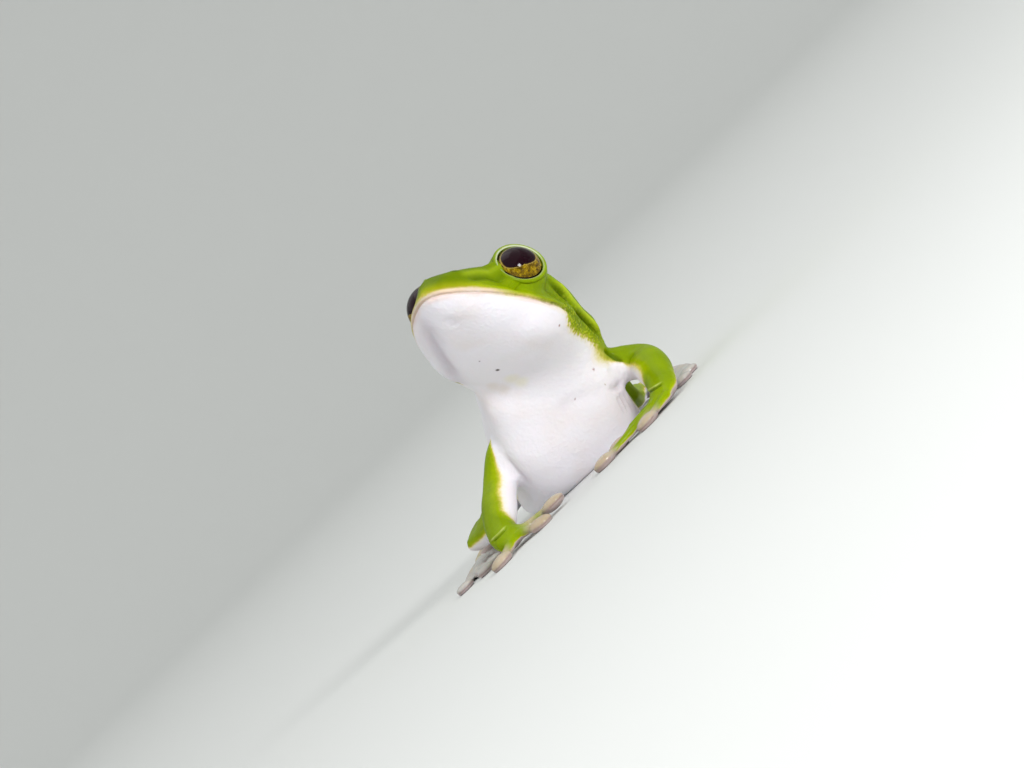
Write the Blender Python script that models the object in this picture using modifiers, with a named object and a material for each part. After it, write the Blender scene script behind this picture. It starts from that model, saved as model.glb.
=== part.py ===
"""Okinawa green tree frog, sitting up on its hands with its head raised: a still, life-size model.

The body is modelled whole, from lofted and rounded forms fused into one smooth surface,
and then parted with thin cuts where a person would name its parts.
Lengths in the tables are millimetres. The frog faces -Y and its left side is +X.
"""

import math

import bmesh
import bpy
from mathutils import Matrix, Vector

# Driving dimensions, in millimetres
MM = 0.001
SKIN_GRID = 0.36                     # grid of the fused surface
CUT_GAP = 0.3                        # width of each parting cut
BODY_TRIANGLES = 5300                # what the fused surface is thinned to
SMOOTH_ROUNDS = 6
SHARP_ANGLE = 40                     # edges sharper than this stay sharp
FLOOR_SIZE = (90, 90, 10)

# The head: its turn, raise and tip, and the middle of its jaw corners
HEAD_TURN, HEAD_RAISE, HEAD_TIP = 13.9, 33.7, -23.0
HEAD_MIDDLE = Vector((2.0, -2.2, 21.7))
HEAD_WIDTH, LOWER_JAW, UPPER_JAW = 20.2, 15.9, 16.8
JAW_POINT, JAW_FULL = 1.52, 0.61     # exponents of the jaw's outline seen from above
EYE_RADIUS, LID_RADIUS = 3.4, 3.95
EYE_RIM = 1.9                        # from the eye's middle to the plane of the lids
EYE_PLACE = Vector((4.3, 6.6, 5.2))  # forward, left and up from the jaw middle
EYE_FORWARD, EYE_UP = 42.4, 20.3     # where the eye looks, from straight sideways
EYE_GAP = 0.2                        # between each eyeball and its socket

# Limbs
FINGER_RADIUS, FINGER_DISC = 0.75, 1.65
TOE_RADIUS, TOE_DISC = 0.7, 1.45
FINGER_PAD, TOE_PAD = 0.68, 0.58      # half the thickness of a finger and of a toe disc
WEB_THICK = 0.65


def catmull(points, count):
    """A smooth row of count points through the given ones. A point is any row of numbers."""
    rows = [[float(v) for v in p] for p in points]
    last = len(rows) - 1
    found = []
    for i in range(count):
        t = last * i / (count - 1)
        k = min(int(t), last - 1)
        u = t - k
        a, b, c, d = (rows[min(max(j, 0), last)] for j in (k - 1, k, k + 1, k + 2))
        if k == 0:
            a = [2 * q - r for q, r in zip(b, c)]
        if k == last - 1:
            d = [2 * r - q for q, r in zip(b, c)]
        found.append([
            q + 0.5 * ((r - p) * u + (2 * p - 5 * q + 4 * r - s) * u * u + (3 * q - p - 3 * r + s) * u ** 3)
            for p, q, r, s in zip(a, b, c, d)
        ])
    return found


def mesh_object(name, bm):
    mesh = bpy.data.meshes.new(name)
    bmesh.ops.recalc_face_normals(bm, faces=bm.faces)
    bm.to_mesh(mesh)
    bm.free()
    obj = bpy.data.objects.new(name, mesh)
    bpy.context.scene.collection.objects.link(obj)
    return obj


def loft(name, rings):
    """A closed skin over rings of points, all with the same count. Its ends are fans."""
    bm = bmesh.new()
    made = [[bm.verts.new(Vector(p) * MM) for p in ring] for ring in rings]
    for first, second in zip(made, made[1:]):
        for i in range(len(first)):
            j = (i + 1) % len(first)
            bm.faces.new((first[i], first[j], second[j], second[i]))
    for ring in (made[0], made[-1]):
        middle = bm.verts.new(sum((v.co for v in ring), Vector()) / len(ring))
        for i in range(len(ring)):
            bm.faces.new((ring[i], ring[(i + 1) % len(ring)], middle))
    return mesh_object(name, bm)


def oval(centre, side, up, sides, square=2.0, square_below=None):
    """A ring of points on a rounded outline: side and up are its half-axes. It may be squarer below."""
    ring = []
    for i in range(sides):
        a = 2 * math.pi * i / sides
        c, s = math.cos(a), math.sin(a)
        power = 2 / (square_below if square_below and s < 0 else square)
        c = math.copysign(abs(c) ** power, c)
        s = math.copysign(abs(s) ** power, s)
        ring.append(Vector(centre) + Vector(side) * c + Vector(up) * s)
    return ring


def limb(name, stations, sides=16, steps=6, lift=(0, 0, 1)):
    """A rounded limb through stations (x, y, z, half width, half thickness), with dome ends."""
    rows = catmull(stations, steps * (len(stations) - 1) + 1)
    centres = [Vector(r[:3]) for r in rows]
    rings = []
    for i, row in enumerate(rows):
        tangent = (centres[min(i + 1, len(rows) - 1)] - centres[max(i - 1, 0)]).normalized()
        side = tangent.cross(Vector(lift)).normalized()
        up = side.cross(tangent).normalized()
        for share in dome_shares(i, len(rows)):
            shift = tangent * row[4] * share[1]
            rings.append(oval(centres[i] + shift, side * row[3] * share[0], up * row[4] * share[0], sides))
    return loft(name, rings)


def dome_shares(i, count):
    """How each ring of a limb is shrunk and shifted: the first and last are drawn out to a dome."""
    dome = [(math.sin(a), math.cos(a)) for a in (math.radians(d) for d in (12, 35, 60))]
    if i == 0:
        return [(s, -c) for s, c in dome] + [(1.0, 0.0)]
    if i == count - 1:
        return [(1.0, 0.0)] + [(s, c) for s, c in reversed(dome)]
    return [(1.0, 0.0)]


def ball(name, centre, half_axes, matrix=None, segments=32):
    """A primitive sphere, drawn out to its half-axes and turned by matrix."""
    bpy.ops.mesh.primitive_uv_sphere_add(segments=segments, ring_count=segments // 2, radius=1)
    obj = bpy.context.object
    obj.name = name
    turn = matrix.to_4x4() if matrix else Matrix.Identity(4)
    scale = Matrix.Diagonal(Vector(half_axes) * MM).to_4x4()
    obj.data.transform(Matrix.Translation(Vector(centre) * MM) @ turn @ scale)
    return obj


def head_axes():
    """The head's own directions: forward, left and up."""
    turn, rise, tip = (math.radians(a) for a in (HEAD_TURN, HEAD_RAISE, HEAD_TIP))
    forward = Vector((-math.sin(turn) * math.cos(rise), -math.cos(turn) * math.cos(rise), math.sin(rise)))
    level = Vector((math.cos(turn), -math.sin(turn), 0))
    left = level * math.cos(tip) + forward.cross(level) * math.sin(tip)
    return forward, left, forward.cross(left)


FORWARD, LEFT, UP = head_axes()
HEAD_TURNED = Matrix((FORWARD, LEFT, UP)).transposed()


def in_head(forward, left, up):
    """A point of the head's own frame, in the frame of the tables."""
    return HEAD_MIDDLE + FORWARD * forward + LEFT * left + UP * up


def jaw_half_width(forward, reach):
    """Half the head's width at the mouth, this far forward of the jaw corners."""
    if forward <= 0:
        return HEAD_WIDTH / 2
    t = min(forward / reach, 1.0)
    return HEAD_WIDTH / 2 * (1 - t ** JAW_POINT) ** JAW_FULL


# Head stations: forward, crown height, canthus height and its share of the width, lip height, throat depth
HEAD_STATIONS = (
    (-7.0, 7.0, 5.6, 0.62, 0.2, -5.4),
    (-3.5, 7.5, 6.2, 0.64, 0.2, -5.4),
    (0.0, 7.7, 6.6, 0.66, 0.2, -5.2),
    (3.0, 7.6, 6.6, 0.66, 0.2, -4.7),
    (6.0, 7.1, 6.2, 0.64, 0.3, -4.0),
    (9.0, 6.3, 5.6, 0.62, 0.35, -3.2),
    (11.5, 5.5, 4.9, 0.60, 0.4, -2.4),
    (13.5, 4.7, 4.2, 0.60, 0.45, -1.6),
    (15.0, 3.8, 3.4, 0.60, 0.5, -0.9),
    (16.1, 2.8, 2.5, 0.62, 0.5, -0.3),
    (16.6, 1.9, 1.7, 0.62, 0.6, 0.2),
)


def head():
    """The head lofted from neck to snout: crown, canthus, lips and throat, in the head's frame."""
    rings = []
    for forward, crown, canthus, share, lip, throat in catmull(HEAD_STATIONS, 34):
        upper = jaw_half_width(forward, UPPER_JAW) + 0.2
        lower = jaw_half_width(forward, LOWER_JAW) + 0.1
        half = [
            (0.0, crown), (0.5 * share * upper, crown - 0.15), (share * upper, canthus),
            (0.80 * upper, 0.52 * canthus + 0.48 * lip), (0.97 * upper, lip + 0.7), (upper, lip),
            (0.97 * lower, lip - 0.9), (0.80 * lower, 0.66 * throat), (0.45 * lower, 0.94 * throat),
            (0.0, throat),
        ]
        ring = [in_head(forward, l, u) for l, u in half]
        ring += [in_head(forward, -l, u) for l, u in reversed(half[1:-1])]
        rings.append(ring)
    return loft("head_form", rings)


def eye_look(side):
    """The direction in which the eye of that side looks."""
    ahead, up = math.radians(EYE_FORWARD), math.radians(EYE_UP)
    return (LEFT * side * math.cos(ahead) * math.cos(up) + FORWARD * math.sin(ahead) * math.cos(up)
            + UP * math.sin(up))


def eye_middle(side):
    return in_head(EYE_PLACE.x, side * EYE_PLACE.y, EYE_PLACE.z)


def lid(name, side):
    """The lids of one eye: a ball cut off flat at the plane of the eye's opening."""
    look = eye_look(side)
    across = look.cross(UP).normalized()
    rings = []
    for i in range(13):
        t = -0.98 * LID_RADIUS + (0.98 * LID_RADIUS + EYE_RIM) * i / 12
        radius = math.sqrt(LID_RADIUS ** 2 - t ** 2)
        rings.append(oval(eye_middle(side) + look * t, across * radius, look.cross(across) * radius, 28))
    return loft(name, rings)


JOWL = Vector((0.6, 6.6, -0.8))      # the swelling at the corner of the jaw
JOWL_SIZE = (6.2, 2.7, 3.3)
# The fold from behind the eye over the ear to the shoulder, in the head's frame: place and radius
EAR_FOLD = (
    (2.2, 6.9, 4.9, 1.9), (-2.0, 7.1, 4.2, 2.1), (-6.4, 6.4, 2.6, 2.5), (-10.5, 6.2, 0.2, 2.8),
    (-14.0, 5.4, -2.4, 2.7), (-17.0, 4.0, -5.4, 1.8),
)

# Torso stations: belly point, back point and half width, from the vent to the neck
TORSO_STATIONS = (
    (-3.0, 36.8, 3.6, -3.0, 37.4, 6.2, 2.2),
    (-2.9, 34.0, 1.0, -2.8, 36.0, 9.2, 5.0),
    (-2.7, 28.0, -0.6, -2.2, 31.4, 12.6, 7.0),
    (-2.7, 21.0, -1.3, -1.0, 26.0, 15.8, 8.6),
    (-2.5, 14.0, -1.5, 1.2, 20.6, 18.8, 9.2),
    (-1.9, 7.4, -0.7, 3.4, 15.6, 21.4, 9.1),
    (-0.6, 3.0, 3.6, 4.6, 11.6, 23.8, 9.0),
    (0.8, 1.0, 9.4, 5.4, 8.2, 25.6, 8.3),
    (1.8, -0.6, 14.2, 6.2, 5.4, 26.6, 7.9),
    (2.2, -2.2, 17.4, 6.4, 1.6, 26.6, 7.6),
)
TORSO_EGG = 0.12                     # how much narrower the back is than the belly
BELLY_SQUARE = 3.6                   # how square the belly is


def torso():
    """The trunk lofted from the vent to the neck, on sections that span from belly to back."""
    rows = catmull(TORSO_STATIONS, 46)
    middles = [(Vector(r[:3]) + Vector(r[3:6])) / 2 for r in rows]
    rings = []
    for i, row in enumerate(rows):
        along = (middles[min(i + 1, len(rows) - 1)] - middles[max(i - 1, 0)]).normalized()
        up = (Vector(row[3:6]) - Vector(row[:3])) / 2
        side = along.cross(up).normalized() * row[6]
        ring = []
        for point in oval(middles[i], side, up, 40, square=2.0, square_below=BELLY_SQUARE):
            off = point - middles[i]
            ring.append(point - off.project(side) * TORSO_EGG * off.dot(up) / up.length_squared)
        rings.append(ring)
    return loft("torso_form", rings)


# Arms: shoulder, upper arm, elbow, forearm, wrist and heel of the hand
ARMS = {
    "left": ((6.6, 5.4, 9.0, 3.0, 3.0), (10.4, 6.4, 8.0, 2.5, 2.5), (13.4, 6.4, 5.9, 2.4, 2.4),
             (13.7, 2.4, 4.6, 2.55, 2.5), (13.2, -1.6, 2.8, 2.2, 1.8), (12.4, -4.2, 1.5, 2.3, 1.3)),
    "right": ((-4.6, 5.4, 10.4, 3.0, 3.0), (-8.4, 6.4, 9.7, 2.5, 2.5), (-11.6, 6.0, 7.2, 2.3, 2.3),
              (-14.0, 2.2, 4.9, 2.5, 2.4), (-15.6, -1.8, 2.9, 2.2, 1.8), (-15.4, -4.4, 1.5, 2.2, 1.3)),
}

# Fingers from the inner to the outer one: knuckle, middle joint and disc, on the floor plane with a height
FINGERS = {
    "left": (((11.8, -2.0, 1.3), (9.9, -1.0, 1.0), (8.3, -0.9, 0.5)),
             ((11.0, -3.6, 1.3), (7.0, -3.9, 1.1), (3.2, -4.6, 0.5)),
             ((11.0, -5.0, 1.2), (6.0, -6.2, 0.9), (0.5, -7.8, 0.5)),
             ((12.4, -6.0, 1.1), (10.4, -7.6, 0.9), (8.1, -8.7, 0.5))),
    "right": (((-14.4, -3.4, 1.3), (-12.6, -2.7, 1.1), (-11.2, -2.3, 0.5)),
              ((-13.8, -3.6, 1.4), (-11.4, -3.7, 1.2), (-8.1, -4.6, 1.15)),
              ((-13.8, -5.4, 1.2), (-12.4, -6.4, 1.0), (-11.0, -7.6, 0.5)),
              ((-15.8, -6.2, 1.1), (-16.8, -7.2, 0.9), (-18.0, -8.6, 0.5))),
}

# Legs: hip, thigh, knee; knee, calf, heel; heel, tarsus, sole
THIGHS = {
    "left": ((1.8, 31.6, 7.4, 3.5, 3.6), (5.6, 26.0, 7.2, 3.3, 3.3),
             (8.3, 20.4, 6.2, 2.4, 2.4), (8.9, 14.6, 4.9, 1.8, 2.1)),
    "right": ((-6.6, 31.6, 7.2, 3.5, 3.6), (-10.0, 25.4, 5.9, 3.2, 3.0),
              (-13.6, 19.0, 4.5, 2.5, 2.3), (-18.8, 13.8, 3.2, 2.1, 1.35)),
}
SHANKS = {
    "left": ((9.0, 14.4, 3.4, 1.6, 1.6), (9.4, 21.0, 1.9, 1.7, 1.35),
             (10.2, 29.5, 1.8, 1.7, 1.5), (10.4, 37.0, 1.8, 1.4, 1.4)),
    "right": ((-19.0, 14.2, 3.3, 2.0, 1.3), (-17.6, 20.6, 3.6, 1.9, 1.45),
              (-16.4, 29.0, 3.2, 1.8, 1.5), (-15.4, 36.8, 2.2, 1.4, 1.5)),
}
TARSI = {
    "left": ((10.8, 37.0, 1.8, 1.4, 1.4), (14.3, 32.2, 1.4, 1.3, 1.2),
             (15.2, 26.4, 1.2, 1.3, 1.1), (16.0, 21.2, 1.0, 1.8, 0.95)),
    "right": ((-15.6, 36.9, 1.9, 1.4, 1.4), (-19.6, 32.4, 1.1, 1.2, 0.95),
              (-20.9, 26.6, 0.9, 1.2, 0.85), (-20.8, 21.6, 0.85, 1.5, 0.8)),
}
SOLES = {"left": (16.1, 19.8, 0.85), "right": (-20.9, 20.2, 0.8)}
SOLE_SIZE = (2.1, 2.6, 0.8)
# Toes from the inner to the outer one: root, middle joint and disc
TOES = {
    "left": (((14.9, 20.0, 0.9), (14.3, 18.6, 0.75), (13.7, 17.2, 0.42)),
             ((15.2, 18.8, 0.9), (14.2, 15.4, 0.75), (13.1, 12.4, 0.42)),
             ((15.7, 18.4, 0.95), (15.3, 12.6, 0.8), (13.9, 7.9, 0.42)),
             ((16.2, 18.4, 1.0), (16.6, 11.4, 0.8), (15.6, 4.6, 0.42)),
             ((16.8, 18.8, 1.0), (17.6, 14.0, 0.8), (17.0, 9.4, 0.42))),
    "right": (((-19.6, 20.8, 0.85), (-19.0, 19.6, 0.75), (-18.4, 18.4, 0.42)),
              ((-20.0, 20.0, 0.85), (-20.2, 18.0, 0.75), (-20.4, 16.2, 0.42)),
              ((-20.4, 19.4, 0.9), (-20.9, 13.6, 0.75), (-19.2, 8.4, 0.42)),
              ((-20.8, 19.4, 1.0), (-22.0, 12.0, 0.8), (-20.7, 5.2, 0.42)),
              ((-21.4, 19.6, 1.0), (-23.5, 14.4, 0.8), (-24.5, 9.4, 0.42))),
}


def digit(name, points, radius, disc, pad_half):
    """A finger or toe with its flat round disc."""
    root, joint, tip = (Vector(p) for p in points)
    stations = [
        (*root, radius * 1.25, radius * 1.1),
        (*joint, radius, radius * 0.95),
        (*tip, radius * 0.9, radius * 0.8),
    ]
    shaft = limb(name + "_shaft", stations, sides=12, steps=5)
    ahead = tip - joint
    turn = Matrix.Rotation(math.atan2(ahead.y, ahead.x), 3, "Z")
    rise = Matrix.Rotation(-math.atan2(ahead.z, ahead.xy.length) * 0.6, 3, "Y")
    pad = ball(name + "_disc", tip, (disc * 1.08, disc, pad_half), turn @ rise, segments=20)
    return [shaft, pad]


def web(name, first, second, reach):
    """The skin between two digits, out to that share of their length."""
    rings = []
    for share in (0.0, 0.25 * reach, 0.5 * reach, 0.75 * reach, reach):
        a, b = (along_digit(points, share) for points in (first, second))
        sag = along_digit(first, max(share - 0.16 * share, 0)) - a
        ends = [a, (a + b) / 2 + sag, b]
        lift = Vector((0, 0, WEB_THICK / 2))
        rings.append([p + lift for p in ends] + [p - lift for p in reversed(ends)])
    return loft(name, rings)


def along_digit(points, share):
    rows = catmull(points, 21)
    return Vector(rows[round(share * 20)])


def flesh():
    """Every form that the body is fused from."""
    forms = [head(), torso()]
    for side, sign in (("left", 1), ("right", -1)):
        forms.append(lid("lid_" + side, sign))
        forms.append(ball("jowl_" + side, in_head(JOWL.x, sign * JOWL.y, JOWL.z), JOWL_SIZE, HEAD_TURNED))
        forms.append(limb("fold_" + side, [(*in_head(f, sign * l, u), r, r) for f, l, u, r in EAR_FOLD]))
        forms.append(limb("arm_" + side, ARMS[side]))
        forms.append(limb("thigh_" + side, THIGHS[side]))
        forms.append(limb("shank_" + side, SHANKS[side]))
        forms.append(limb("tarsus_" + side, TARSI[side]))
        forms.append(ball("sole_" + side, SOLES[side], SOLE_SIZE))
        for n, points in enumerate(FINGERS[side]):
            forms += digit(f"finger_{side}_{n}", points, FINGER_RADIUS, FINGER_DISC, FINGER_PAD)
        for n, points in enumerate(TOES[side]):
            forms += digit(f"toe_{side}_{n}", points, TOE_RADIUS, TOE_DISC, TOE_PAD)
        for n, (a, b) in enumerate(zip(TOES[side], TOES[side][1:])):
            forms.append(web(f"web_{side}_{n}", a, b, 0.6))
    return forms


def fused(name, forms):
    """One object from many: joined, fused on a grid and smoothed."""
    bpy.ops.object.select_all(action="DESELECT")
    for form in forms:
        form.select_set(True)
    bpy.context.view_layer.objects.active = forms[0]
    bpy.ops.object.join()
    whole = bpy.context.object
    whole.name = name
    grid = whole.modifiers.new("fuse", "REMESH")
    grid.mode = "VOXEL"
    grid.voxel_size = SKIN_GRID * MM
    smooth = whole.modifiers.new("soften", "SMOOTH")
    smooth.factor, smooth.iterations = 0.5, SMOOTH_ROUNDS
    for modifier in list(whole.modifiers):
        bpy.ops.object.modifier_apply(modifier=modifier.name)
    return whole


# Parting cuts: middle, the direction that they face, and their width and height
CUTS = {
    "neck": (in_head(-4.5, 0.0, 0.0), FORWARD, 30, 30),
    "shoulder_left": ((10.9, 6.4, 7.6), (1.0, 0.0, -0.6), 7.5, 7.5),
    "shoulder_right": ((-9.9, 6.2, 8.4), (-1.0, -0.3, 0.15), 8, 9),
    "elbow_left": ((13.7, 4.9, 5.4), (0.0, -1.0, -0.4), 8, 8),
    "elbow_right": ((-12.5, 4.9, 6.4), (-0.4, -1.0, -0.5), 8, 8),
    "wrist_left": ((13.3, -1.5, 2.9), (-0.1, -1.0, -0.5), 8, 8),
    "wrist_right": ((-15.6, -1.7, 2.9), (-0.1, -1.0, -0.5), 6.6, 8),
    "knee_right": ((-16.6, 18.5, 3.6), (0.68, -0.38, 0.62), 21, 9),
    "ankle_left": ((11.5, 33.6, 2.0), (0.97, 0.25, 0.0), 12, 8),
    "ankle_right": ((-16.2, 35.6, 2.0), (-0.88, 0.47, 0.0), 8, 8),
}
# Parting cuts with four given corners: beside and above each thigh, in front of and below the left one,
# between the left calf and the belly, and between the right calf and the foot under it
CORNERED_CUTS = {
    "groin_left": ((7.4, 11.6, 3.75), (-0.4, 38.5, 3.75), (-0.4, 38.5, 12.0), (7.4, 11.6, 8.5)),
    "loin_left": ((7.4, 11.6, 8.5), (-0.4, 38.5, 12.0), (7.6, 38.5, 12.0), (15.4, 11.6, 8.5)),
    "flank_left": ((8.1, 11.6, -2.0), (11.8, 11.6, -2.0), (11.8, 11.6, 8.5), (6.6, 11.6, 8.5)),
    "knee_left": ((7.3, 11.5, 3.75), (13.5, 11.5, 3.75), (13.5, 38.7, 3.75), (-0.5, 38.7, 3.75)),
    "calf_left": ((8.3, 10.6, -2.0), (6.9, 24.6, -2.0), (6.9, 24.6, 3.9), (8.3, 10.6, 3.9)),
    "groin_right": ((-11.3, 17.0, -2.0), (-4.4, 39.5, -2.0), (-4.4, 39.5, 12.0), (-11.3, 17.0, 9.0)),
    "loin_right": ((-11.3, 17.0, 9.0), (-4.4, 39.5, 12.0), (-13.4, 39.5, 12.0), (-20.3, 17.0, 9.0)),
    "calf_right": ((-25.0, 9.5, 1.8), (-15.0, 9.5, 1.8), (-15.0, 25.6, 1.8), (-25.0, 25.6, 1.8)),
}
# One point inside each piece, by which the parted pieces get their names
PIECES = {
    "head": tuple(in_head(6, 0, 2)), "torso": (-1, 20, 8),
    "upper_arm_left": (12.4, 6.4, 6.6), "upper_arm_right": (-11.0, 6.1, 7.7),
    "forearm_left": (13.7, 1.5, 4.2), "forearm_right": (-14.4, 1.4, 4.5),
    "hand_left": (11.5, -4.4, 1.4), "hand_right": (-15.0, -4.8, 1.4),
    "thigh_left": (6.6, 24.0, 7.0), "thigh_right": (-11.8, 23.0, 6.0),
    "shank_left": (8.8, 25.0, 2.4), "shank_right": (-17.2, 23.0, 3.2),
    "foot_left": (15.6, 23.0, 1.1), "foot_right": (-20.8, 24.0, 1.0),
}


def plate(name, corners):
    """A thin plate with these four corners, which parts the body where it passes."""
    first, second, _, last = corners
    half = (second - first).cross(last - first).normalized() * CUT_GAP / 2
    bm = bmesh.new()
    rings = [[bm.verts.new((p + shift) * MM) for p in corners] for shift in (half, -half)]
    for i in range(4):
        bm.faces.new((rings[0][i], rings[0][(i + 1) % 4], rings[1][(i + 1) % 4], rings[1][i]))
    for ring in rings:
        bm.faces.new(ring)
    return mesh_object("cut_" + name, bm)


def slab(name, middle, facing, width, height):
    """A four-sided plate across a limb."""
    turn = Vector(facing).normalized().to_track_quat("Z", "Y").to_matrix()
    across, along = turn.col[0] * width / 2, turn.col[1] * height / 2
    steps = ((-1, -1), (1, -1), (1, 1), (-1, 1))
    return plate(name, [Vector(middle) + across * a + along * b for a, b in steps])


def cutters():
    """Every cutter: the parting cuts, the eye sockets and the floor."""
    made = [slab(name, *cut) for name, cut in CUTS.items()]
    made += [plate(name, [Vector(p) for p in corners]) for name, corners in CORNERED_CUTS.items()]
    for side, sign in (("left", 1), ("right", -1)):
        made.append(ball("cut_socket_" + side, eye_middle(sign), (EYE_RADIUS + EYE_GAP,) * 3, segments=20))
    bpy.ops.mesh.primitive_cube_add(size=1)
    floor = bpy.context.object
    floor.name = "cut_floor"
    size = Matrix.Diagonal(Vector(FLOOR_SIZE) * MM).to_4x4()
    floor.data.transform(Matrix.Translation((0, 15 * MM, -FLOOR_SIZE[2] / 2 * MM)) @ size)
    return made + [floor]


def thin_out(obj, triangles):
    """Fewer and larger faces on the same shape."""
    bpy.context.view_layer.objects.active = obj
    obj.data.calc_loop_triangles()
    fewer = obj.modifiers.new("thin", "DECIMATE")
    fewer.ratio = triangles / len(obj.data.loop_triangles)
    fewer.use_collapse_triangulate = True
    bpy.ops.object.modifier_apply(modifier=fewer.name)


def part_body(whole, made):
    """The body with every cutter taken out of it, as separate named objects."""
    bpy.context.view_layer.objects.active = whole
    for cutter in made:
        cut = whole.modifiers.new(cutter.name, "BOOLEAN")
        cut.operation, cut.object, cut.solver = "DIFFERENCE", cutter, "EXACT"
        bpy.ops.object.modifier_apply(modifier=cut.name)
    bpy.ops.object.select_all(action="DESELECT")
    whole.select_set(True)
    bpy.ops.mesh.separate(type="LOOSE")
    pieces = list(bpy.context.selected_objects)
    for name, place in PIECES.items():
        for piece in pieces:
            if holds(piece, Vector(place) * MM):
                piece.name = name
    return pieces


def holds(piece, point):
    """Whether a point lies inside a closed piece: a ray from it meets the surface an odd number of times."""
    ray, step, meetings = Vector((0.31, 0.17, 0.93)).normalized(), 1e-7, 0
    met, place, _, _ = piece.ray_cast(point, ray)
    while met:
        meetings += 1
        met, place, _, _ = piece.ray_cast(place + ray * step, ray)
    return meetings % 2 == 1


def collection(name, objects):
    """A new collection that holds these objects, and only it."""
    holder = bpy.data.collections.new(name)
    bpy.context.scene.collection.children.link(holder)
    for obj in objects:
        for user in list(obj.users_collection):
            user.objects.unlink(obj)
        holder.objects.link(obj)
    return holder


def finish_material(obj, colour, roughness):
    material = bpy.data.materials.new(obj.name + "_finish")
    material.use_nodes = True
    shader = material.node_tree.nodes["Principled BSDF"]
    shader.inputs["Base Color"].default_value = (*colour, 1)
    shader.inputs["Roughness"].default_value = roughness
    shader.inputs["Metallic"].default_value = 0.0
    obj.data.materials.clear()
    obj.data.materials.append(material)


def floor_middle(objects):
    """The middle of the floor under these objects."""
    points = [v.co for obj in objects for v in obj.data.vertices]
    sides = [(min(p[i] for p in points), max(p[i] for p in points)) for i in (0, 1)]
    return Vector([(low + high) / 2 for low, high in sides] + [0.0])


def clear_scene():
    for obj in list(bpy.data.objects):
        bpy.data.objects.remove(obj, do_unlink=True)


GREEN, WHITE, EYE_BROWN = (0.33, 0.52, 0.02), (0.86, 0.84, 0.84), (0.12, 0.07, 0.02)


def main():
    """Builds the whole model and returns the point that became its origin."""
    clear_scene()
    whole = fused("frog", flesh())
    thin_out(whole, BODY_TRIANGLES)
    made = cutters()
    pieces = part_body(whole, made)
    for side, sign in (("left", 1), ("right", -1)):
        pieces.append(ball("eye_" + side, eye_middle(sign), (EYE_RADIUS,) * 3, segments=24))
    middle = floor_middle(pieces)
    print("middle in millimetres", [round(v / MM, 4) for v in middle])
    for obj in pieces + made:
        obj.data.transform(Matrix.Translation(-middle))
    for obj in pieces:
        obj.data.shade_smooth()
        if obj.name.startswith("eye_"):
            finish_material(obj, EYE_BROWN, 0.15)
        else:
            obj.data.set_sharp_from_angle(angle=math.radians(SHARP_ANGLE))
            finish_material(obj, WHITE if obj.name == "torso" else GREEN, 0.4)
    for obj in made:
        obj.hide_render, obj.display_type = True, "WIRE"
    collection("green_tree_frog", pieces)
    collection("cutters", made)
    return middle


MIDDLE = main()
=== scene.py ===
# %% [markdown]
# # A green tree frog, sitting up on its hands
#
# The frog is life-size: about 55 mm from snout to vent. Its solids come ready made, one for each part
# of the body, with thin cuts between them. This lesson dresses them: one skin without a seam, sculpted
# folds, wet eyes, and a green and white pattern that follows the body.
# Lengths in the tables are millimetres, and the frog faces -Y with its left side towards +X.

# %% Load the frame
import math

import bpy
import numpy as np
from mathutils import Matrix, Vector
from mathutils.bvhtree import BVHTree


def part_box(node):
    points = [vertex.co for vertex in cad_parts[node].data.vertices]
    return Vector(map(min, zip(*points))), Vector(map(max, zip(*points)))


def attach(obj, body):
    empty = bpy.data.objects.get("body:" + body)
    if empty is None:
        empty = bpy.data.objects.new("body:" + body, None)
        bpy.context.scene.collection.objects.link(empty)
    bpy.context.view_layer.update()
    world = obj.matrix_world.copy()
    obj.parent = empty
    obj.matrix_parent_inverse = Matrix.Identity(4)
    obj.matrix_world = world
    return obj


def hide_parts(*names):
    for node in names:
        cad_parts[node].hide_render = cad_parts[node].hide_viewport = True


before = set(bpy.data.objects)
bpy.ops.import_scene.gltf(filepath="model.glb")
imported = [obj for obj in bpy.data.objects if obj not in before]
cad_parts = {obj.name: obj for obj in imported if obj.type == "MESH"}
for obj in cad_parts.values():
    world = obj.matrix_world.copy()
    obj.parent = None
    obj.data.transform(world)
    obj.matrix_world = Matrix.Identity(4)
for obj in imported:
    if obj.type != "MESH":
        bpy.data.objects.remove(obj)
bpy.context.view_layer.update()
MM = 0.001
print("nodes in the frame", len(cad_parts))

# %% [markdown]
# ## The head's own directions
#
# The head is turned, raised and tipped. Its folds are easiest to place in its own frame, so the first
# step is to find that frame: three angles give its directions, and the two eyes give its place.
# A point there is (forward, left, up) from the middle of the jaw corners, in millimetres.

# %% The head's frame
HEAD_TURN, HEAD_RAISE, HEAD_TIP = (math.radians(a) for a in (13.9, 33.7, -23.0))
EYE_AHEAD, EYE_ABOVE = 4.3, 5.2
FORWARD = Vector((-math.sin(HEAD_TURN) * math.cos(HEAD_RAISE),
                  -math.cos(HEAD_TURN) * math.cos(HEAD_RAISE), math.sin(HEAD_RAISE)))
level = Vector((math.cos(HEAD_TURN), -math.sin(HEAD_TURN), 0))
LEFT = level * math.cos(HEAD_TIP) + FORWARD.cross(level) * math.sin(HEAD_TIP)
UP = FORWARD.cross(LEFT)
EYES = {side: sum(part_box("eye_" + side), Vector()) / 2 / MM for side in ("left", "right")}
between_eyes = (EYES["left"] + EYES["right"]) / 2
HEAD_MIDDLE = between_eyes - FORWARD * EYE_AHEAD - UP * EYE_ABOVE
HEAD_AXES = np.array((FORWARD, LEFT, UP))
print("jaw middle", [round(v, 2) for v in HEAD_MIDDLE])


def to_head(points):
    """Rows of body points, in millimetres, as rows in the head's frame."""
    return (points - np.array(HEAD_MIDDLE)) @ HEAD_AXES.T


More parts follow.
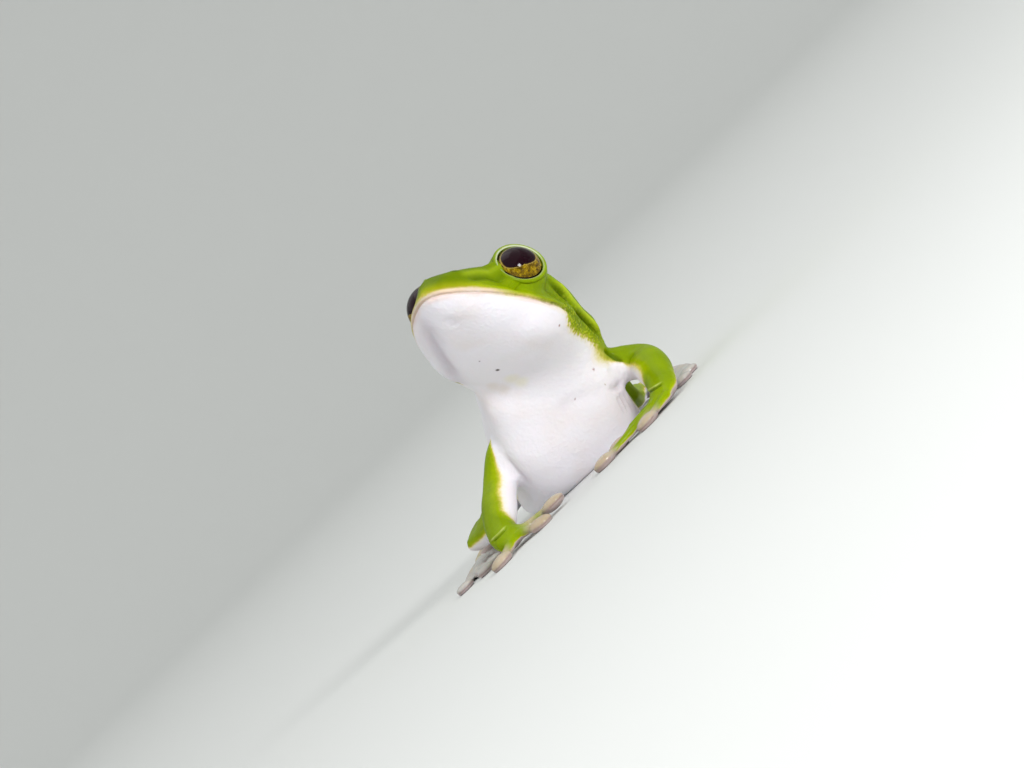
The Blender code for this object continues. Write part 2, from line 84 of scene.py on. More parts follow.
def from_head(points):
    """Rows in the head's frame as rows of body points."""
    return np.array(points, float) @ HEAD_AXES + np.array(HEAD_MIDDLE)


# %% [markdown]
# ## The camera
#
# The picture is taken from half a metre away, just above the floor, and is tilted: the frog leans
# across it. Here the frog sits on a level floor and the camera is rolled instead.

# %% Camera
def new_object(name, data):
    """An object with this data, in the scene."""
    made = bpy.data.objects.new(name, data)
    bpy.context.scene.collection.objects.link(made)
    return made


PIXELS_PER_MM = 7.63
PHOTO_WIDTH = 1024
DISTANCE = 500.0
ELEVATION, ROLL = math.radians(1.5), math.radians(44.0)
TARGET = between_eyes + Vector((-4.895, 3.584, -12.165))     # what the middle of the picture shows
back = Vector((0, -math.cos(ELEVATION), math.sin(ELEVATION)))
level_right = Vector((1, 0, 0))
level_up = back.cross(level_right)
right = level_right * math.cos(ROLL) - level_up * math.sin(ROLL)
up = level_right * math.sin(ROLL) + level_up * math.cos(ROLL)
camera = new_object("camera", bpy.data.cameras.new("camera"))
place = Matrix((right, up, back)).transposed().to_4x4()
place.translation = (TARGET + back * DISTANCE) * MM
camera.matrix_world = place
camera.data.sensor_width = 36.0
camera.data.lens = camera.data.sensor_width * DISTANCE * PIXELS_PER_MM / PHOTO_WIDTH
camera.data.clip_start = 0.01
bpy.context.scene.camera = camera
print("camera", round(place.translation.z / MM, 1), "mm above the floor, lens", round(camera.data.lens, 1))

# %% [markdown]
# ## Places on the body
#
# Folds are placed in three ways: in the head's frame, as points measured from the floor under the chest,
# or by where they show in the picture plane, in millimetres right and up of its middle. The last kind is
# carried onto the skin along the line of sight, so that a fold lies on the skin from every side.

# %% Places
CHEST = HEAD_MIDDLE - Vector((2.0, -2.2, 21.7))      # on the floor


def from_chest(points):
    """Rows measured from the floor under the chest, as rows of body points."""
    return np.array(points, float) + np.array(CHEST)


def sighted(tree, places):
    """The skin's points behind these places of the picture plane."""
    eye = TARGET + back * DISTANCE
    found = []
    for across, height in places:
        aim = (TARGET + level_right * across + level_up * height - eye).normalized()
        hit = tree.ray_cast(eye, aim)[0]
        if hit is not None:
            found.append(hit)
    return np.array(found)


def spread(places, count=24):
    """That many places along the same line."""
    where = np.linspace(0, len(places) - 1, count)
    return np.column_stack([np.interp(where, range(len(places)), column) for column in np.array(places).T])


def settled(tree, points):
    """The skin's points nearest to these ones."""
    return np.array([tree.find_nearest(Vector(p))[0] for p in points])


# %% [markdown]
# ## One skin from many pieces
#
# A frog has one skin. Copies of the flesh pieces are joined, blown up a little so that they overlap,
# fused on a fine grid and shrunk back, which closes the cuts between them. Smoothing by turns inwards
# and outwards takes away the facets and the marks of the cuts. The fingers and toes get fewer rounds,
# because smoothing thins what is slender.

# %% Helpers for meshes
SEAM_CLOSE = 0.2      # how far the pieces are blown up, more than half a cut
GRID = 0.45           # grid of the fused skin
LEG_ROOM = {"foot": -0.25, "shank": 0.2}     # the folded legs are drawn apart, so that they don't fuse
FLESH = [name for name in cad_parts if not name.startswith("eye_")]


def attribute(obj, name, values):
    """Keeps a value for each point on the mesh, for the shader."""
    layer = obj.data.attributes.new(name, "FLOAT", "POINT")
    layer.data.foreach_set("value", np.asarray(values, np.float32))


def mode(name):
    bpy.ops.object.mode_set(mode=name)


def select_only(*objects):
    bpy.ops.object.select_all(action="DESELECT")
    for obj in objects:
        obj.select_set(True)
    bpy.context.view_layer.objects.active = objects[0]


def apply_modifier(obj, kind, **settings):
    """Adds one modifier with these settings and applies it."""
    select_only(obj)
    modifier = obj.modifiers.new(kind.lower(), kind)
    for key, value in settings.items():
        setattr(modifier, key, value)
    bpy.ops.object.modifier_apply(modifier=modifier.name)


def corners(obj):
    """A mesh's points as rows, in millimetres."""
    rows = np.empty(len(obj.data.vertices) * 3, np.float32)
    obj.data.vertices.foreach_get("co", rows)
    return rows.reshape(-1, 3).astype(float) / MM


def set_corners(obj, points):
    obj.data.vertices.foreach_set("co", (points * MM).astype(np.float32).ravel())
    obj.data.update()


def normals(obj, rounds=0):
    """The outward directions at the points, evened out over this many rounds."""
    rows = np.empty(len(obj.data.vertices) * 3, np.float32)
    obj.data.vertex_normals.foreach_get("vector", rows)
    rows = averaged(rows.reshape(-1, 3), edges_of(obj), rounds)
    return rows / np.linalg.norm(rows, axis=1)[:, None]


def edges_of(obj):
    rows = np.empty(len(obj.data.edges) * 2, np.int32)
    obj.data.edges.foreach_get("vertices", rows)
    return rows.reshape(-1, 2)


def averaged(values, edges, rounds=1, share=0.5):
    """Values at the points, drawn towards the mean of their neighbours."""
    values = np.array(values, float)
    columns = values.reshape(len(values), -1).T
    a, b = edges[:, 0], edges[:, 1]
    count = np.maximum(np.bincount(a, minlength=len(values)) + np.bincount(b, minlength=len(values)), 1)
    for _ in range(rounds):
        for column in columns:
            total = np.bincount(a, column[b], len(values)) + np.bincount(b, column[a], len(values))
            column += share * (total / count - column)
    return values


def smooth(obj, rounds, where=1.0):
    """Smooths a mesh without shrinking it: each step inwards is followed by one outwards."""
    points, edges = corners(obj), edges_of(obj)
    where = np.reshape(where, (-1, 1))
    for _ in range(rounds):
        for share in (0.5, -0.53):
            points += where * (averaged(points, edges, 1, share) - points)
    set_corners(obj, points)


def step(values, low, high):
    """0 below low and 1 above high, with a smooth rise between. High may be the smaller."""
    t = np.clip((values - low) / (high - low), 0, 1)
    return t * t * (3 - 2 * t)


def tree_of(*objects):
    """A search tree over the faces of these objects, in millimetres, and each face's object."""
    points, faces, owner = [], [], []
    for n, obj in enumerate(objects):
        faces += [[len(points) + i for i in f.vertices] for f in obj.data.polygons]
        owner += [n] * len(obj.data.polygons)
        points += [v.co / MM for v in obj.data.vertices]
    return BVHTree.FromPolygons(points, faces), np.array(owner)


# %% Join the flesh and fuse it
pieces = [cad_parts[name] for name in FLESH]
piece_tree, piece_owner = tree_of(*pieces)
copies = []
for piece in pieces:
    copy = new_object(piece.name + "_flesh", piece.data.copy())
    if piece.name.startswith(tuple(LEG_ROOM)):
        copy.data.transform(Matrix.Translation((0, 0, LEG_ROOM[piece.name.split("_")[0]] * MM)))
    copies.append(copy)
select_only(*copies)
bpy.ops.object.join()
skin = bpy.context.object
skin.name = "skin"
mode("EDIT")
bpy.ops.mesh.select_all(action="SELECT")
bpy.ops.mesh.remove_doubles(threshold=1e-6)
mode("OBJECT")
apply_modifier(skin, "DISPLACE", strength=SEAM_CLOSE * MM, mid_level=0.0)
apply_modifier(skin, "REMESH", mode="VOXEL", voxel_size=GRID * MM)
print("fused skin", len(skin.data.polygons), "faces")

# %% Smooth the fused skin
FIRST_ROUNDS, BODY_ROUNDS, ARM_ROUNDS, LAST_ROUNDS = 4, 22, 12, 2
ARM_FILL = 0.1        # the arms are evened out more, which thins them, so they are filled out again


def shares(obj, rounds):
    """For each flesh piece, how much each point belongs to it, blended over this many rounds."""
    nearest = [piece_tree.find_nearest(Vector(p))[2] for p in corners(obj)]
    owner = piece_owner[nearest]
    sorted_out = np.array([owner == n for n in range(len(FLESH))], float).T
    blended = averaged(sorted_out, edges_of(obj), rounds)
    return {name: blended[:, n] for n, name in enumerate(FLESH)}


belongs = shares(skin, 10)
slender = sum(belongs[name] for name in FLESH if name.startswith(("hand", "foot")))
smooth(skin, FIRST_ROUNDS)
smooth(skin, BODY_ROUNDS, 1 - slender)
arms = sum(belongs[name] for name in FLESH if "arm" in name)
points = corners(skin)
points += arms[:, None] * (averaged(points, edges_of(skin), ARM_ROUNDS) - points)
set_corners(skin, points + (ARM_FILL * arms)[:, None] * normals(skin))
apply_modifier(skin, "DISPLACE", strength=-SEAM_CLOSE * MM, mid_level=0.0)
smooth(skin, LAST_ROUNDS)
print("smoothed over", len(skin.data.vertices), "points")

# %% [markdown]
# ## Sculpting
#
# The big forms come from the solids. What a sculptor would still do by hand is done here by moving the
# points: the throat is drawn smoothly into the chest, the discs are filled out to their true size, and
# folds are pressed in along lines on the skin.

# %% Tools of the sculptor
LINE_REACH = 4.0      # points farther out than this may count as endlessly far from a line


def distance(points, place):
    """Each point's distance from one place."""
    return np.linalg.norm(points - place, axis=1)


def line_distance(points, line):
    """Each point's distance from a line through the given places, and how far along it that is."""
    best = np.full(len(points), np.inf)
    along = np.zeros(len(points))
    middle = line.mean(0)
    half = distance(line, middle).max()
    near = distance(points, middle) < half + LINE_REACH
    rows = points[near]
    close, share = np.full(len(rows), np.inf), np.zeros(len(rows))
    for n, (a, b) in enumerate(zip(line, line[1:])):
        t = np.clip((rows - a) @ (b - a) / max((b - a) @ (b - a), 1e-9), 0, 1)
        gap = np.linalg.norm(rows - a - t[:, None] * (b - a), axis=1)
        nearer = gap < close
        close[nearer], share[nearer] = gap[nearer], (n + t[nearer]) / (len(line) - 1)
    best[near], along[near] = close, share
    return best, along


def relax(obj, centre, radius, rounds):
    """Melts the form away inside a soft ball."""
    points, edges = corners(obj), edges_of(obj)
    near = 1 - step(distance(points, centre), radius * 0.45, radius)
    for _ in range(rounds):
        points += near[:, None] * (averaged(points, edges, 1, 0.7) - points)
    set_corners(obj, points)


def swell(obj, centre, radius, height):
    """Raises a soft mound of that height, or sinks a hollow."""
    points, outward = corners(obj), normals(obj, 4)
    near = np.exp(-(distance(points, centre) / radius) ** 2)
    set_corners(obj, points + outward * (near * height)[:, None])


def shove(obj, centre, radius, move):
    """Drags the form near a place by that much."""
    points = corners(obj)
    near = np.exp(-(distance(points, centre) / radius) ** 2)
    set_corners(obj, points + near[:, None] * np.array(move))


def inner(along, fade):
    """0 at both ends of a line and 1 past that share of its length."""
    return step(np.minimum(along, 1 - along), 0, fade)


def press(obj, line, depth, width, fade=0.1):
    """Presses a groove along a line on the skin. A negative depth raises a ridge."""
    points, outward = corners(obj), normals(obj, 2)
    gap, along = line_distance(points, line)
    moved = np.where(gap < 3 * width, depth * np.exp(-(gap / width) ** 2), 0) * inner(along, fade)
    set_corners(obj, points - outward * moved[:, None])
    return moved


def fill_out(obj, centre, axes, half):
    """Pushes the points inside a ball with these half-axes out to its surface."""
    points = corners(obj)
    local = (points - centre) @ axes.T / half
    size = np.linalg.norm(local, axis=1)
    inside = (size < 1) & (size > 0.2)
    local[inside] /= size[inside, None]
    points[inside] = (local[inside] * half) @ axes + centre
    set_corners(obj, points)


# %% The throat, neck and shoulders
# Where the form melts: the place in the picture plane, the radius and the rounds
THROAT_MELTS = (
    ((7.5, -2.6), 7.5, 120), ((11.4, -2.6), 5.0, 90), ((3.0, 0.0), 7.0, 70), ((-2.0, 11.5), 5.0, 25),
    ((-0.2, 12.6), 3.4, 22), ((-0.5, 8.0), 6.0, 40), ((3.0, 6.5), 6.0, 40), ((6.0, 3.0), 5.5, 40),
)
# Where it is dragged, at the belly's edges, the left shoulder and the neck: place, radius and move
DRAGS = (
    ((-9.6, 12.0, 1.2), 3.4, (-1.8, -0.4, -0.3)), ((8.0, 9.0, 1.2), 3.0, (0.5, -0.2, -0.3)),
    ((11.5, 2.0, 13.9), 2.5, (1.0, 0.0, 0.0)), ((11.8, -1.0, 18.5), 2.6, (0.4, 0.0, 0.0)),
)
skin_tree = tree_of(skin)[0]
for place, radius, rounds in THROAT_MELTS:
    relax(skin, sighted(skin_tree, [place])[0], radius, rounds)
for place, radius, move in DRAGS:
    shove(skin, from_chest([place])[0], radius, move)
print(len(THROAT_MELTS), "places melted and", len(DRAGS), "dragged")

# The green coat will follow this plain form, before it is folded
form_tree = tree_of(skin)[0]
form_directions = normals(skin, 12)[[face.vertices[0] for face in skin.data.polygons]]

# %% [markdown]
# ## Finer faces where the detail is
#
# The whole skin may have no more than 200,000 triangles, and the finest folds are on the head, hands and
# feet. So only those parts are subdivided, and then once more along the lips, lids, nostrils and creases,
# and a third time along the thin edges of skin over the wrists.

# %% Where the fine lines run
JAW_WIDTH, JAW_REACH, JAW_POINT, JAW_FULL = 10.2, 16.7, 1.52, 0.61


def jaw_width(ahead):
    """Half the width of the mouth, this far ahead of the jaw corners."""
    return JAW_WIDTH * (1 - np.clip(ahead / JAW_REACH, 0, 1) ** JAW_POINT) ** JAW_FULL


def lip_height(ahead):
    """How high the mouth runs there."""
    return 0.2 + 0.4 * np.clip((ahead - 3) / 13.6, 0, 1)


def mouth_line(count=60):
    """The line between the lips in the head's frame, from the left corner to the right."""
    swing = np.linspace(-1, 1, count)
    ahead = JAW_REACH * (1 - np.abs(swing) ** 1.8)
    return np.column_stack((ahead, -np.sign(swing) * jaw_width(ahead), lip_height(ahead)))


EYE_TURN, EYE_TILT = math.radians(42.4), math.radians(20.3)     # from straight aside: ahead, and up


def eye_axes(side):
    """An eye's forward and upward directions and where it looks, as rows."""
    sign = 1 if side == "left" else -1
    look = (LEFT * sign * math.cos(EYE_TURN) * math.cos(EYE_TILT)
            + FORWARD * math.sin(EYE_TURN) * math.cos(EYE_TILT) + UP * math.sin(EYE_TILT))
    onward = (FORWARD - look * FORWARD.dot(look)).normalized()
    return np.array((onward, look.cross(onward) * sign, look))


NOSTRIL = (4.75, 15.75)                # the left one's place in the picture plane


def both_nostrils(tree):
    """The nostrils on the skin, the left one first."""
    left = sighted(tree, [NOSTRIL])
    return np.concatenate((left, settled(tree, from_head(to_head(left) * (1, -1, 1)))))


LID_EDGE, LID_RING = 1.8, 3.12         # the lids' edge: how far out from the eye's middle, and its radius


def lid_ring(side, count=48):
    """Points round the edge of one eye's lids."""
    onward, above, look = eye_axes(side)
    turns = np.linspace(0, 2 * math.pi, count)
    circle = np.outer(np.cos(turns), onward) + np.outer(np.sin(turns), above)
    return np.array(EYES[side]) + circle * LID_RING + look * LID_EDGE


def refine(obj, chosen):
    """Splits the faces that have a chosen point into four."""
    select_only(obj)
    mode("EDIT")
    bpy.ops.mesh.select_mode(type="VERT")
    bpy.ops.mesh.select_all(action="DESELECT")
    mode("OBJECT")
    obj.data.vertices.foreach_set("select", chosen)
    mode("EDIT")
    bpy.ops.mesh.select_mode(type="EDGE")
    bpy.ops.mesh.select_mode(type="FACE")
    bpy.ops.mesh.subdivide(number_cuts=1, smoothness=1.0)
    mode("OBJECT")
    print("faces now", len(obj.data.polygons))


# %% Marks and creases
# Each one's place in the picture plane and its radius
DARK_MARKS = [((-0.09, 2.63), 0.3), ((-1.0, 5.1), 0.12)]
RED_MARKS = [((9.02, -6.05), 0.16), ((9.8, 1.2), 0.2), ((4.6, -7.13), 0.08), ((8.72, -8.5), 0.08)]
YELLOW_MARKS = [((0.5, 0.5), 1.2), ((1.1, -0.6), 1.1)]
BEIGE_MARKS = [((-1.9, 1.4), 1.1), ((-1.3, 0.4), 1.1)]
ALL_MARKS = {"dark_marks": DARK_MARKS, "red_marks": RED_MARKS, "yellow_marks": YELLOW_MARKS,
             "beige_marks": BEIGE_MARKS}
# The skin over each wrist folds over in a thin wet edge, which also gets a painted highlight
WRIST_EDGES = (((-16.6, -12.85), (-15.0, -12.9), (-13.3, -12.8)),
               ((11.0, -13.3), (11.8, -12.97), (13.2, -13.22), (14.6, -13.5)))
CREASE_SPOTS = [((11.9, -6.8), 3.0), ((-15.0, -12.9), 1.9), ((12.7, -13.2), 2.0), ((11.9, -1.5), 3.4),
                ((8.8, -11.8), 1.9)]
print(sum(len(marks) for marks in ALL_MARKS.values()), "marks and", len(CREASE_SPOTS), "creased places")

# %% Refine the head, hands and feet
LINE_ROOM, NOSTRIL_ROOM, MARK_ROOM, EDGE_ROOM = 0.8, 1.2, 0.8, 0.2     # how far round them faces are split

belongs = shares(skin, 2)
head_points = to_head(corners(skin))
fine = belongs["hand_left"] + belongs["hand_right"] + belongs["foot_left"] + belongs["foot_right"] > 0.5
fine |= (belongs["head"] > 0.5) & ((head_points[:, 0] > -1.5) | (np.abs(head_points[:, 1]) > 4.5))
refine(skin, fine)
smooth(skin, 2)

fine_lines = [from_head(mouth_line()), lid_ring("left"), lid_ring("right")]
skin_tree = tree_of(skin)[0]
points = corners(skin)
fine = np.zeros(len(points), bool)
for line in fine_lines:
    fine |= line_distance(points, line)[0] < LINE_ROOM
for nostril in both_nostrils(skin_tree):
    fine |= distance(points, nostril) < NOSTRIL_ROOM
small_marks = [(place, MARK_ROOM) for place, radius in DARK_MARKS + RED_MARKS]
for place, radius in small_marks + CREASE_SPOTS:
    fine |= distance(points, sighted(skin_tree, [place])[0]) < radius
refine(skin, fine)
points = corners(skin)
gaps = [line_distance(points, sighted(skin_tree, spread(places)))[0] for places in WRIST_EDGES]
refine(skin, np.min(gaps, axis=0) < EDGE_ROOM)

# %% [markdown]
# ## Discs
#
# Each finger and toe ends in a round climbing disc with a fine groove round its front. Fusing and smoothing
# thin the discs, so the skin is pushed out again to a flat ball at each tip. They stay part of the skin
# that way, where balls added to it would show a seam.

# %% The discs of the fingers and toes
# From the floor under the chest: each disc's joint and its tip
FINGER_TIPS = {
    "left": (((9.9, -1.0, 1.0), (8.3, -0.9, 0.55)), ((7.0, -3.9, 1.1), (3.2, -4.6, 0.55)),
             ((6.0, -6.2, 0.9), (0.5, -7.8, 0.55)), ((10.4, -7.6, 0.9), (8.1, -8.7, 0.55))),
    "right": (((-12.6, -2.7, 1.1), (-11.2, -2.3, 0.55)), ((-11.4, -3.7, 1.2), (-8.1, -4.6, 1.15)),
              ((-12.4, -6.4, 1.0), (-11.0, -7.6, 0.55)), ((-16.8, -7.2, 0.9), (-18.0, -8.6, 0.55))),
}
TOE_TIPS = {
    "left": (((14.3, 18.6, 0.75), (13.7, 17.2, 0.45)), ((14.2, 15.4, 0.75), (13.1, 12.4, 0.45)),
             ((15.3, 12.6, 0.8), (13.9, 7.9, 0.45)), ((16.6, 11.4, 0.8), (15.6, 4.6, 0.45)),
             ((17.6, 14.0, 0.8), (17.0, 9.4, 0.45))),
    "right": (((-19.0, 19.6, 0.75), (-18.4, 18.4, 0.45)), ((-20.2, 18.0, 0.75), (-20.4, 16.2, 0.45)),
              ((-20.9, 13.6, 0.75), (-19.2, 8.4, 0.45)), ((-22.0, 12.0, 0.8), (-20.7, 5.2, 0.45)),
              ((-23.5, 14.4, 0.8), (-24.5, 9.4, 0.45))),
}
FINGER_DISC, FINGER_PAD = 1.7, 0.85    # radius, and half the thickness
TOE_DISC, TOE_PAD = 1.45, 0.68
RIM_TURN = 0.62 * math.pi              # how far round to each side the groove goes
RIM_DEPTH, RIM_WIDTH = 0.15, 0.14


def disc_axes(joint, tip):
    """Along a disc, across it and out of its flat side, as rows."""
    along = Vector(tip) - Vector(joint)
    along.z *= 0.6
    along.normalize()
    across = Vector((0, 0, 1)).cross(along).normalized()
    return np.array((along, across, along.cross(across)))


discs = []
for tips, disc, pad in ((FINGER_TIPS, FINGER_DISC, FINGER_PAD), (TOE_TIPS, TOE_DISC, TOE_PAD)):
    for joint, tip in tips["left"] + tips["right"]:
        centre, axes = from_chest([tip])[0], disc_axes(joint, tip)
        fill_out(skin, centre, axes, (disc * 1.08, disc, pad))
        discs.append((centre, axes, disc))
slender = sum(shares(skin, 2)[name] for name in FLESH if name.startswith(("hand", "foot")))
smooth(skin, 3, slender)
for centre, axes, disc in discs:
    turns = np.linspace(-RIM_TURN, RIM_TURN, 24)
    rim = centre + disc * (np.outer(np.cos(turns) * 1.02, axes[0]) + np.outer(np.sin(turns) * 0.94, axes[1]))
    press(skin, rim, RIM_DEPTH, RIM_WIDTH)
print(len(discs), "discs")

# %% [markdown]
# ## Folds
#
# A frog's loose skin folds where it bends: behind the head, at the throat, in the armpits and over the
# wrists. Each fold is one line, pressed in or raised with soft sides. How far each point moved is kept on
# the mesh, and the material paints shade into the grooves and a highlight along each raised fold with it.

# %% Folds
THROAT_FOLD = ((-2.8, 13.6), (-3.7, 11.6), (-4.3, 9.0), (-4.6, 7.0), (-4.9, 5.0))
# Each fold: its places in the picture plane, how deep it is pressed, and its width.
# They run from the neck over the snout and throat to the armpits, arms and wrists.
FOLDS = (
    (((12.9, 8.0), (12.9, 3.1), (12.75, 0.8), (12.8, -1.5), (12.5, -4.8)), 0.7, 0.36),
    (((13.35, 6.67), (13.6, 4.8), (13.35, 2.6), (13.2, 0.5), (13.3, -1.9), (12.9, -3.7), (12.1, -4.9)),
     -0.3, 0.34),
    (((11.5, 6.4), (12.0, 4.8), (12.25, 3.2), (12.35, 0.9)), 0.22, 0.2),
    (((10.3, 5.6), (11.1, 4.2), (11.75, 2.9), (12.0, 1.7), (12.3, 0.5)), 0.3, 0.26),
    (((6.0, 12.6), (8.2, 10.2), (9.6, 7.6)), 0.12, 0.35),
    (((5.2, 14.2), (7.35, 12.5), (8.7, 10.0)), 0.3, 0.5),
    (((4.8, 15.2), (7.0, 13.7), (8.6, 12.0)), -0.12, 0.5),
    (THROAT_FOLD, 0.45, 0.75),
    (((-2.5, 13.2), (-2.7, 11.4), (-2.95, 9.4)), 0.16, 0.6),
    (((-0.6, 12.4), (-0.1, 11.3), (0.3, 10.2)), 0.12, 0.8),
    (((-7.2, -5.6), (-7.3, -8.9), (-7.5, -11.6)), 0.35, 0.35),
    (((-8.6, -9.6), (-8.9, -13.4)), 0.14, 0.25),
    (((0.7, -7.3), (3.6, -6.9), (6.5, -8.0), (9.0, -9.8)), 0.15, 0.9),
    (((8.6, -9.3), (9.6, -10.0), (10.6, -9.8)), 0.4, 0.4),
    (((9.3, -10.5), (8.9, -12.0), (8.4, -13.5)), 0.22, 0.2),
    (((8.8, -10.6), (8.3, -12.0), (7.9, -13.4)), 0.18, 0.2),
    (((9.7, -10.9), (9.4, -12.2), (9.1, -13.5)), 0.18, 0.2),
    (((11.7, -5.0), (12.1, -6.8), (12.4, -8.4)), 0.5, 0.28),
    (((12.3, -8.9), (13.4, -8.3), (14.7, -8.15)), 0.22, 0.28),
    (((-16.5, -13.1), (-15.0, -13.15), (-13.4, -13.05)), 0.26, 0.18),
    (((11.1, -13.5), (11.8, -13.2), (13.2, -13.45), (14.5, -13.75)), 0.3, 0.18),
)
HEAD_FOLDS = 5         # the first of them, which the right side of the head has as well
FOLD_FADE = 0.25       # the share of a fold at each end over which it fades out
EDGE_HEIGHT, EDGE_WIDTH = 0.12, 0.14     # of the skin's edge over the wrists


def mirrored(line):
    """The same line on the other side of the head, evened out."""
    line = to_head(line) * (1, -1, 1)
    for _ in range(8):
        line[1:-1] = (line[:-2] + line[2:]) / 2
    return settled(skin_tree, from_head(line))


skin_tree = tree_of(skin)[0]
throat_fold = sighted(skin_tree, THROAT_FOLD)
folded = np.zeros(len(skin.data.vertices))
raised = np.zeros(len(skin.data.vertices))
for n, (places, depth, width) in enumerate(FOLDS):
    lines = [sighted(skin_tree, spread(places))]
    if n < HEAD_FOLDS:
        lines.append(mirrored(lines[0]))
    for line in lines:
        moved = press(skin, line, depth, width, fade=FOLD_FADE)
        folded += moved.clip(0)
        raised -= moved.clip(None, 0)
wrist_edges = [sighted(skin_tree, spread(places)) for places in WRIST_EDGES]
for line in wrist_edges:
    press(skin, line, -EDGE_HEIGHT, EDGE_WIDTH, fade=0.4)
print(len(FOLDS), "folds")

# %% [markdown]
# ## Mouth, nostrils and room for the eyes
#
# The mouth is one thin line round the whole head, with a low lip over it. It is drawn as a curve in the
# head's frame and then settled on the skin, so that both sides match. Each nostril is a small pit on a low
# mound, darkened with painted shade. Last, the skin is pushed out of the way of the eyeballs, and nothing is
# left below the floor.

# %% Mouth and nostrils
MOUTH_DEPTH, MOUTH_WIDTH, MOUTH_FADE = 0.26, 0.17, 0.06
LIP_ABOVE, LIP_SWELL, LIP_WIDTH = 0.55, 0.12, 0.28
SNOUT_MOUNDS = (((1.3, 17.3), 1.3, 0.34), ((3.3, 16.4), 1.3, 0.25))      # place, radius and height
MOUND_RADIUS, MOUND_HEIGHTS = 0.7, (0.24, 0.1)
PIT_RADIUS, PIT_DEPTH, PIT_SHADE = 0.3, 0.3, 0.8

skin_tree = tree_of(skin)[0]
mouth = settled(skin_tree, from_head(mouth_line()))
lip = settled(skin_tree, from_head(mouth_line() + (0.0, 0.0, LIP_ABOVE)))
folded += press(skin, mouth, MOUTH_DEPTH, MOUTH_WIDTH, fade=MOUTH_FADE).clip(0)
press(skin, lip, -LIP_SWELL, LIP_WIDTH)
nostrils = both_nostrils(skin_tree)
for place, radius, height in SNOUT_MOUNDS:
    swell(skin, sighted(skin_tree, [place])[0], radius, height)
for nostril, height in zip(nostrils, MOUND_HEIGHTS):
    swell(skin, nostril, MOUND_RADIUS, height)
    swell(skin, nostril, PIT_RADIUS, -PIT_DEPTH)
    from_pit = distance(corners(skin), nostril)
    # Painted shade in the pit
    folded += PIT_SHADE * np.exp(-(from_pit / PIT_RADIUS) ** 2)
print("nostrils in the head's frame", to_head(nostrils).round(1).tolist())

# %% Room for the eyes
EYE_ROOM = 3.53       # from the eye's middle to the inside of its lids
EYE_BACK = 2.5        # how far behind the eye's middle the skin is pushed away
GLINT_WIDTH = 0.12

points = corners(skin)
for side in EYES:
    from_eye = points - np.array(EYES[side])
    reach = np.linalg.norm(from_eye, axis=1)
    near = (reach < EYE_ROOM) & (from_eye @ eye_axes(side)[2] > -EYE_BACK)
    points[near] += from_eye[near] * (EYE_ROOM / reach[near] - 1)[:, None]
points[:, 2] = points[:, 2].clip(0)
set_corners(skin, points)
# For the material: the grooves' depth, with the mouth and the nostril pits, for painted shade
attribute(skin, "folds", averaged(folded, edges_of(skin), 2))
# The raised folds' height, for painted highlights
attribute(skin, "ridges", averaged(raised, edges_of(skin), 1))
# A painted highlight along each wrist edge
gaps = [line_distance(points, line) for line in wrist_edges]
attribute(skin, "glints", sum(np.exp(-(gap / GLINT_WIDTH) ** 2) * inner(along, 0.3) for gap, along in gaps))
print("deepest fold", round(folded.max(), 2), "mm")

# %% [markdown]
# ## The rims of the lids
#
# A lid ends in a thin even bead, too fine for the grid that the skin was fused on. So the skin round each
# eye is cut off flat, the rim and the socket behind it are turned as one clean cup, and the two edges are
# bridged. The skin stays one closed surface.

# %% Turn the rims
LID_CUT = 1.5                          # how far out from the eye's middle the skin is cut off
CUT_REACH, HOLE_REACH = 5.2, 3.7       # how far round it the cut goes, and how near to it no skin stays
SOCKET = 3.48
TURNED_SIDES = 96
# The bead's outline: distance from the line of sight, and how far out
BEAD = ((3.62, 1.60), (3.58, 1.75), (3.50, 1.88), (3.38, 1.96), (3.24, 1.98), (3.11, 1.93), (3.03, 1.83),
        (3.0, 1.72))
SOCKET_ANGLES = (68, 80, 95, 112, 130, 148, 165)


def turn_round(obj, merge):
    """Turns an outline drawn in the XZ plane round the Z axis."""
    apply_modifier(obj, "SCREW", steps=TURNED_SIDES, render_steps=TURNED_SIDES, use_merge_vertices=True,
                   merge_threshold=merge)


def select_faces(obj, middle, reach):
    """Selects the faces within that reach of a place, and nothing else, in edit mode."""
    select_only(obj)
    mode("EDIT")
    bpy.ops.mesh.select_mode(type="FACE")
    bpy.ops.mesh.select_all(action="DESELECT")
    mode("OBJECT")
    where = corners(obj)
    centres = np.array([where[list(face.vertices)].mean(0) for face in obj.data.polygons])
    obj.data.polygons.foreach_set("select", distance(centres, middle) < reach)
    mode("EDIT")


def turned_cup(side):
    """The bead of one eye's lids and the socket behind it, as an open cup."""
    outline = list(BEAD) + [(SOCKET * math.sin(math.radians(a)), SOCKET * math.cos(math.radians(a)))
                            for a in SOCKET_ANGLES] + [(0.0, -SOCKET)]
    mesh = bpy.data.meshes.new("lid_" + side)
    mesh.from_pydata([(ring * MM, 0, out * MM) for ring, out in outline],
                     [(i, i + 1) for i in range(len(outline) - 1)], [])
    cup = new_object("lid_" + side, mesh)
    turn_round(cup, 1e-6)
    turn = Matrix(eye_axes(side)).transposed().to_4x4()
    cup.data.transform(Matrix.Translation(EYES[side] * MM) @ turn)
    return cup


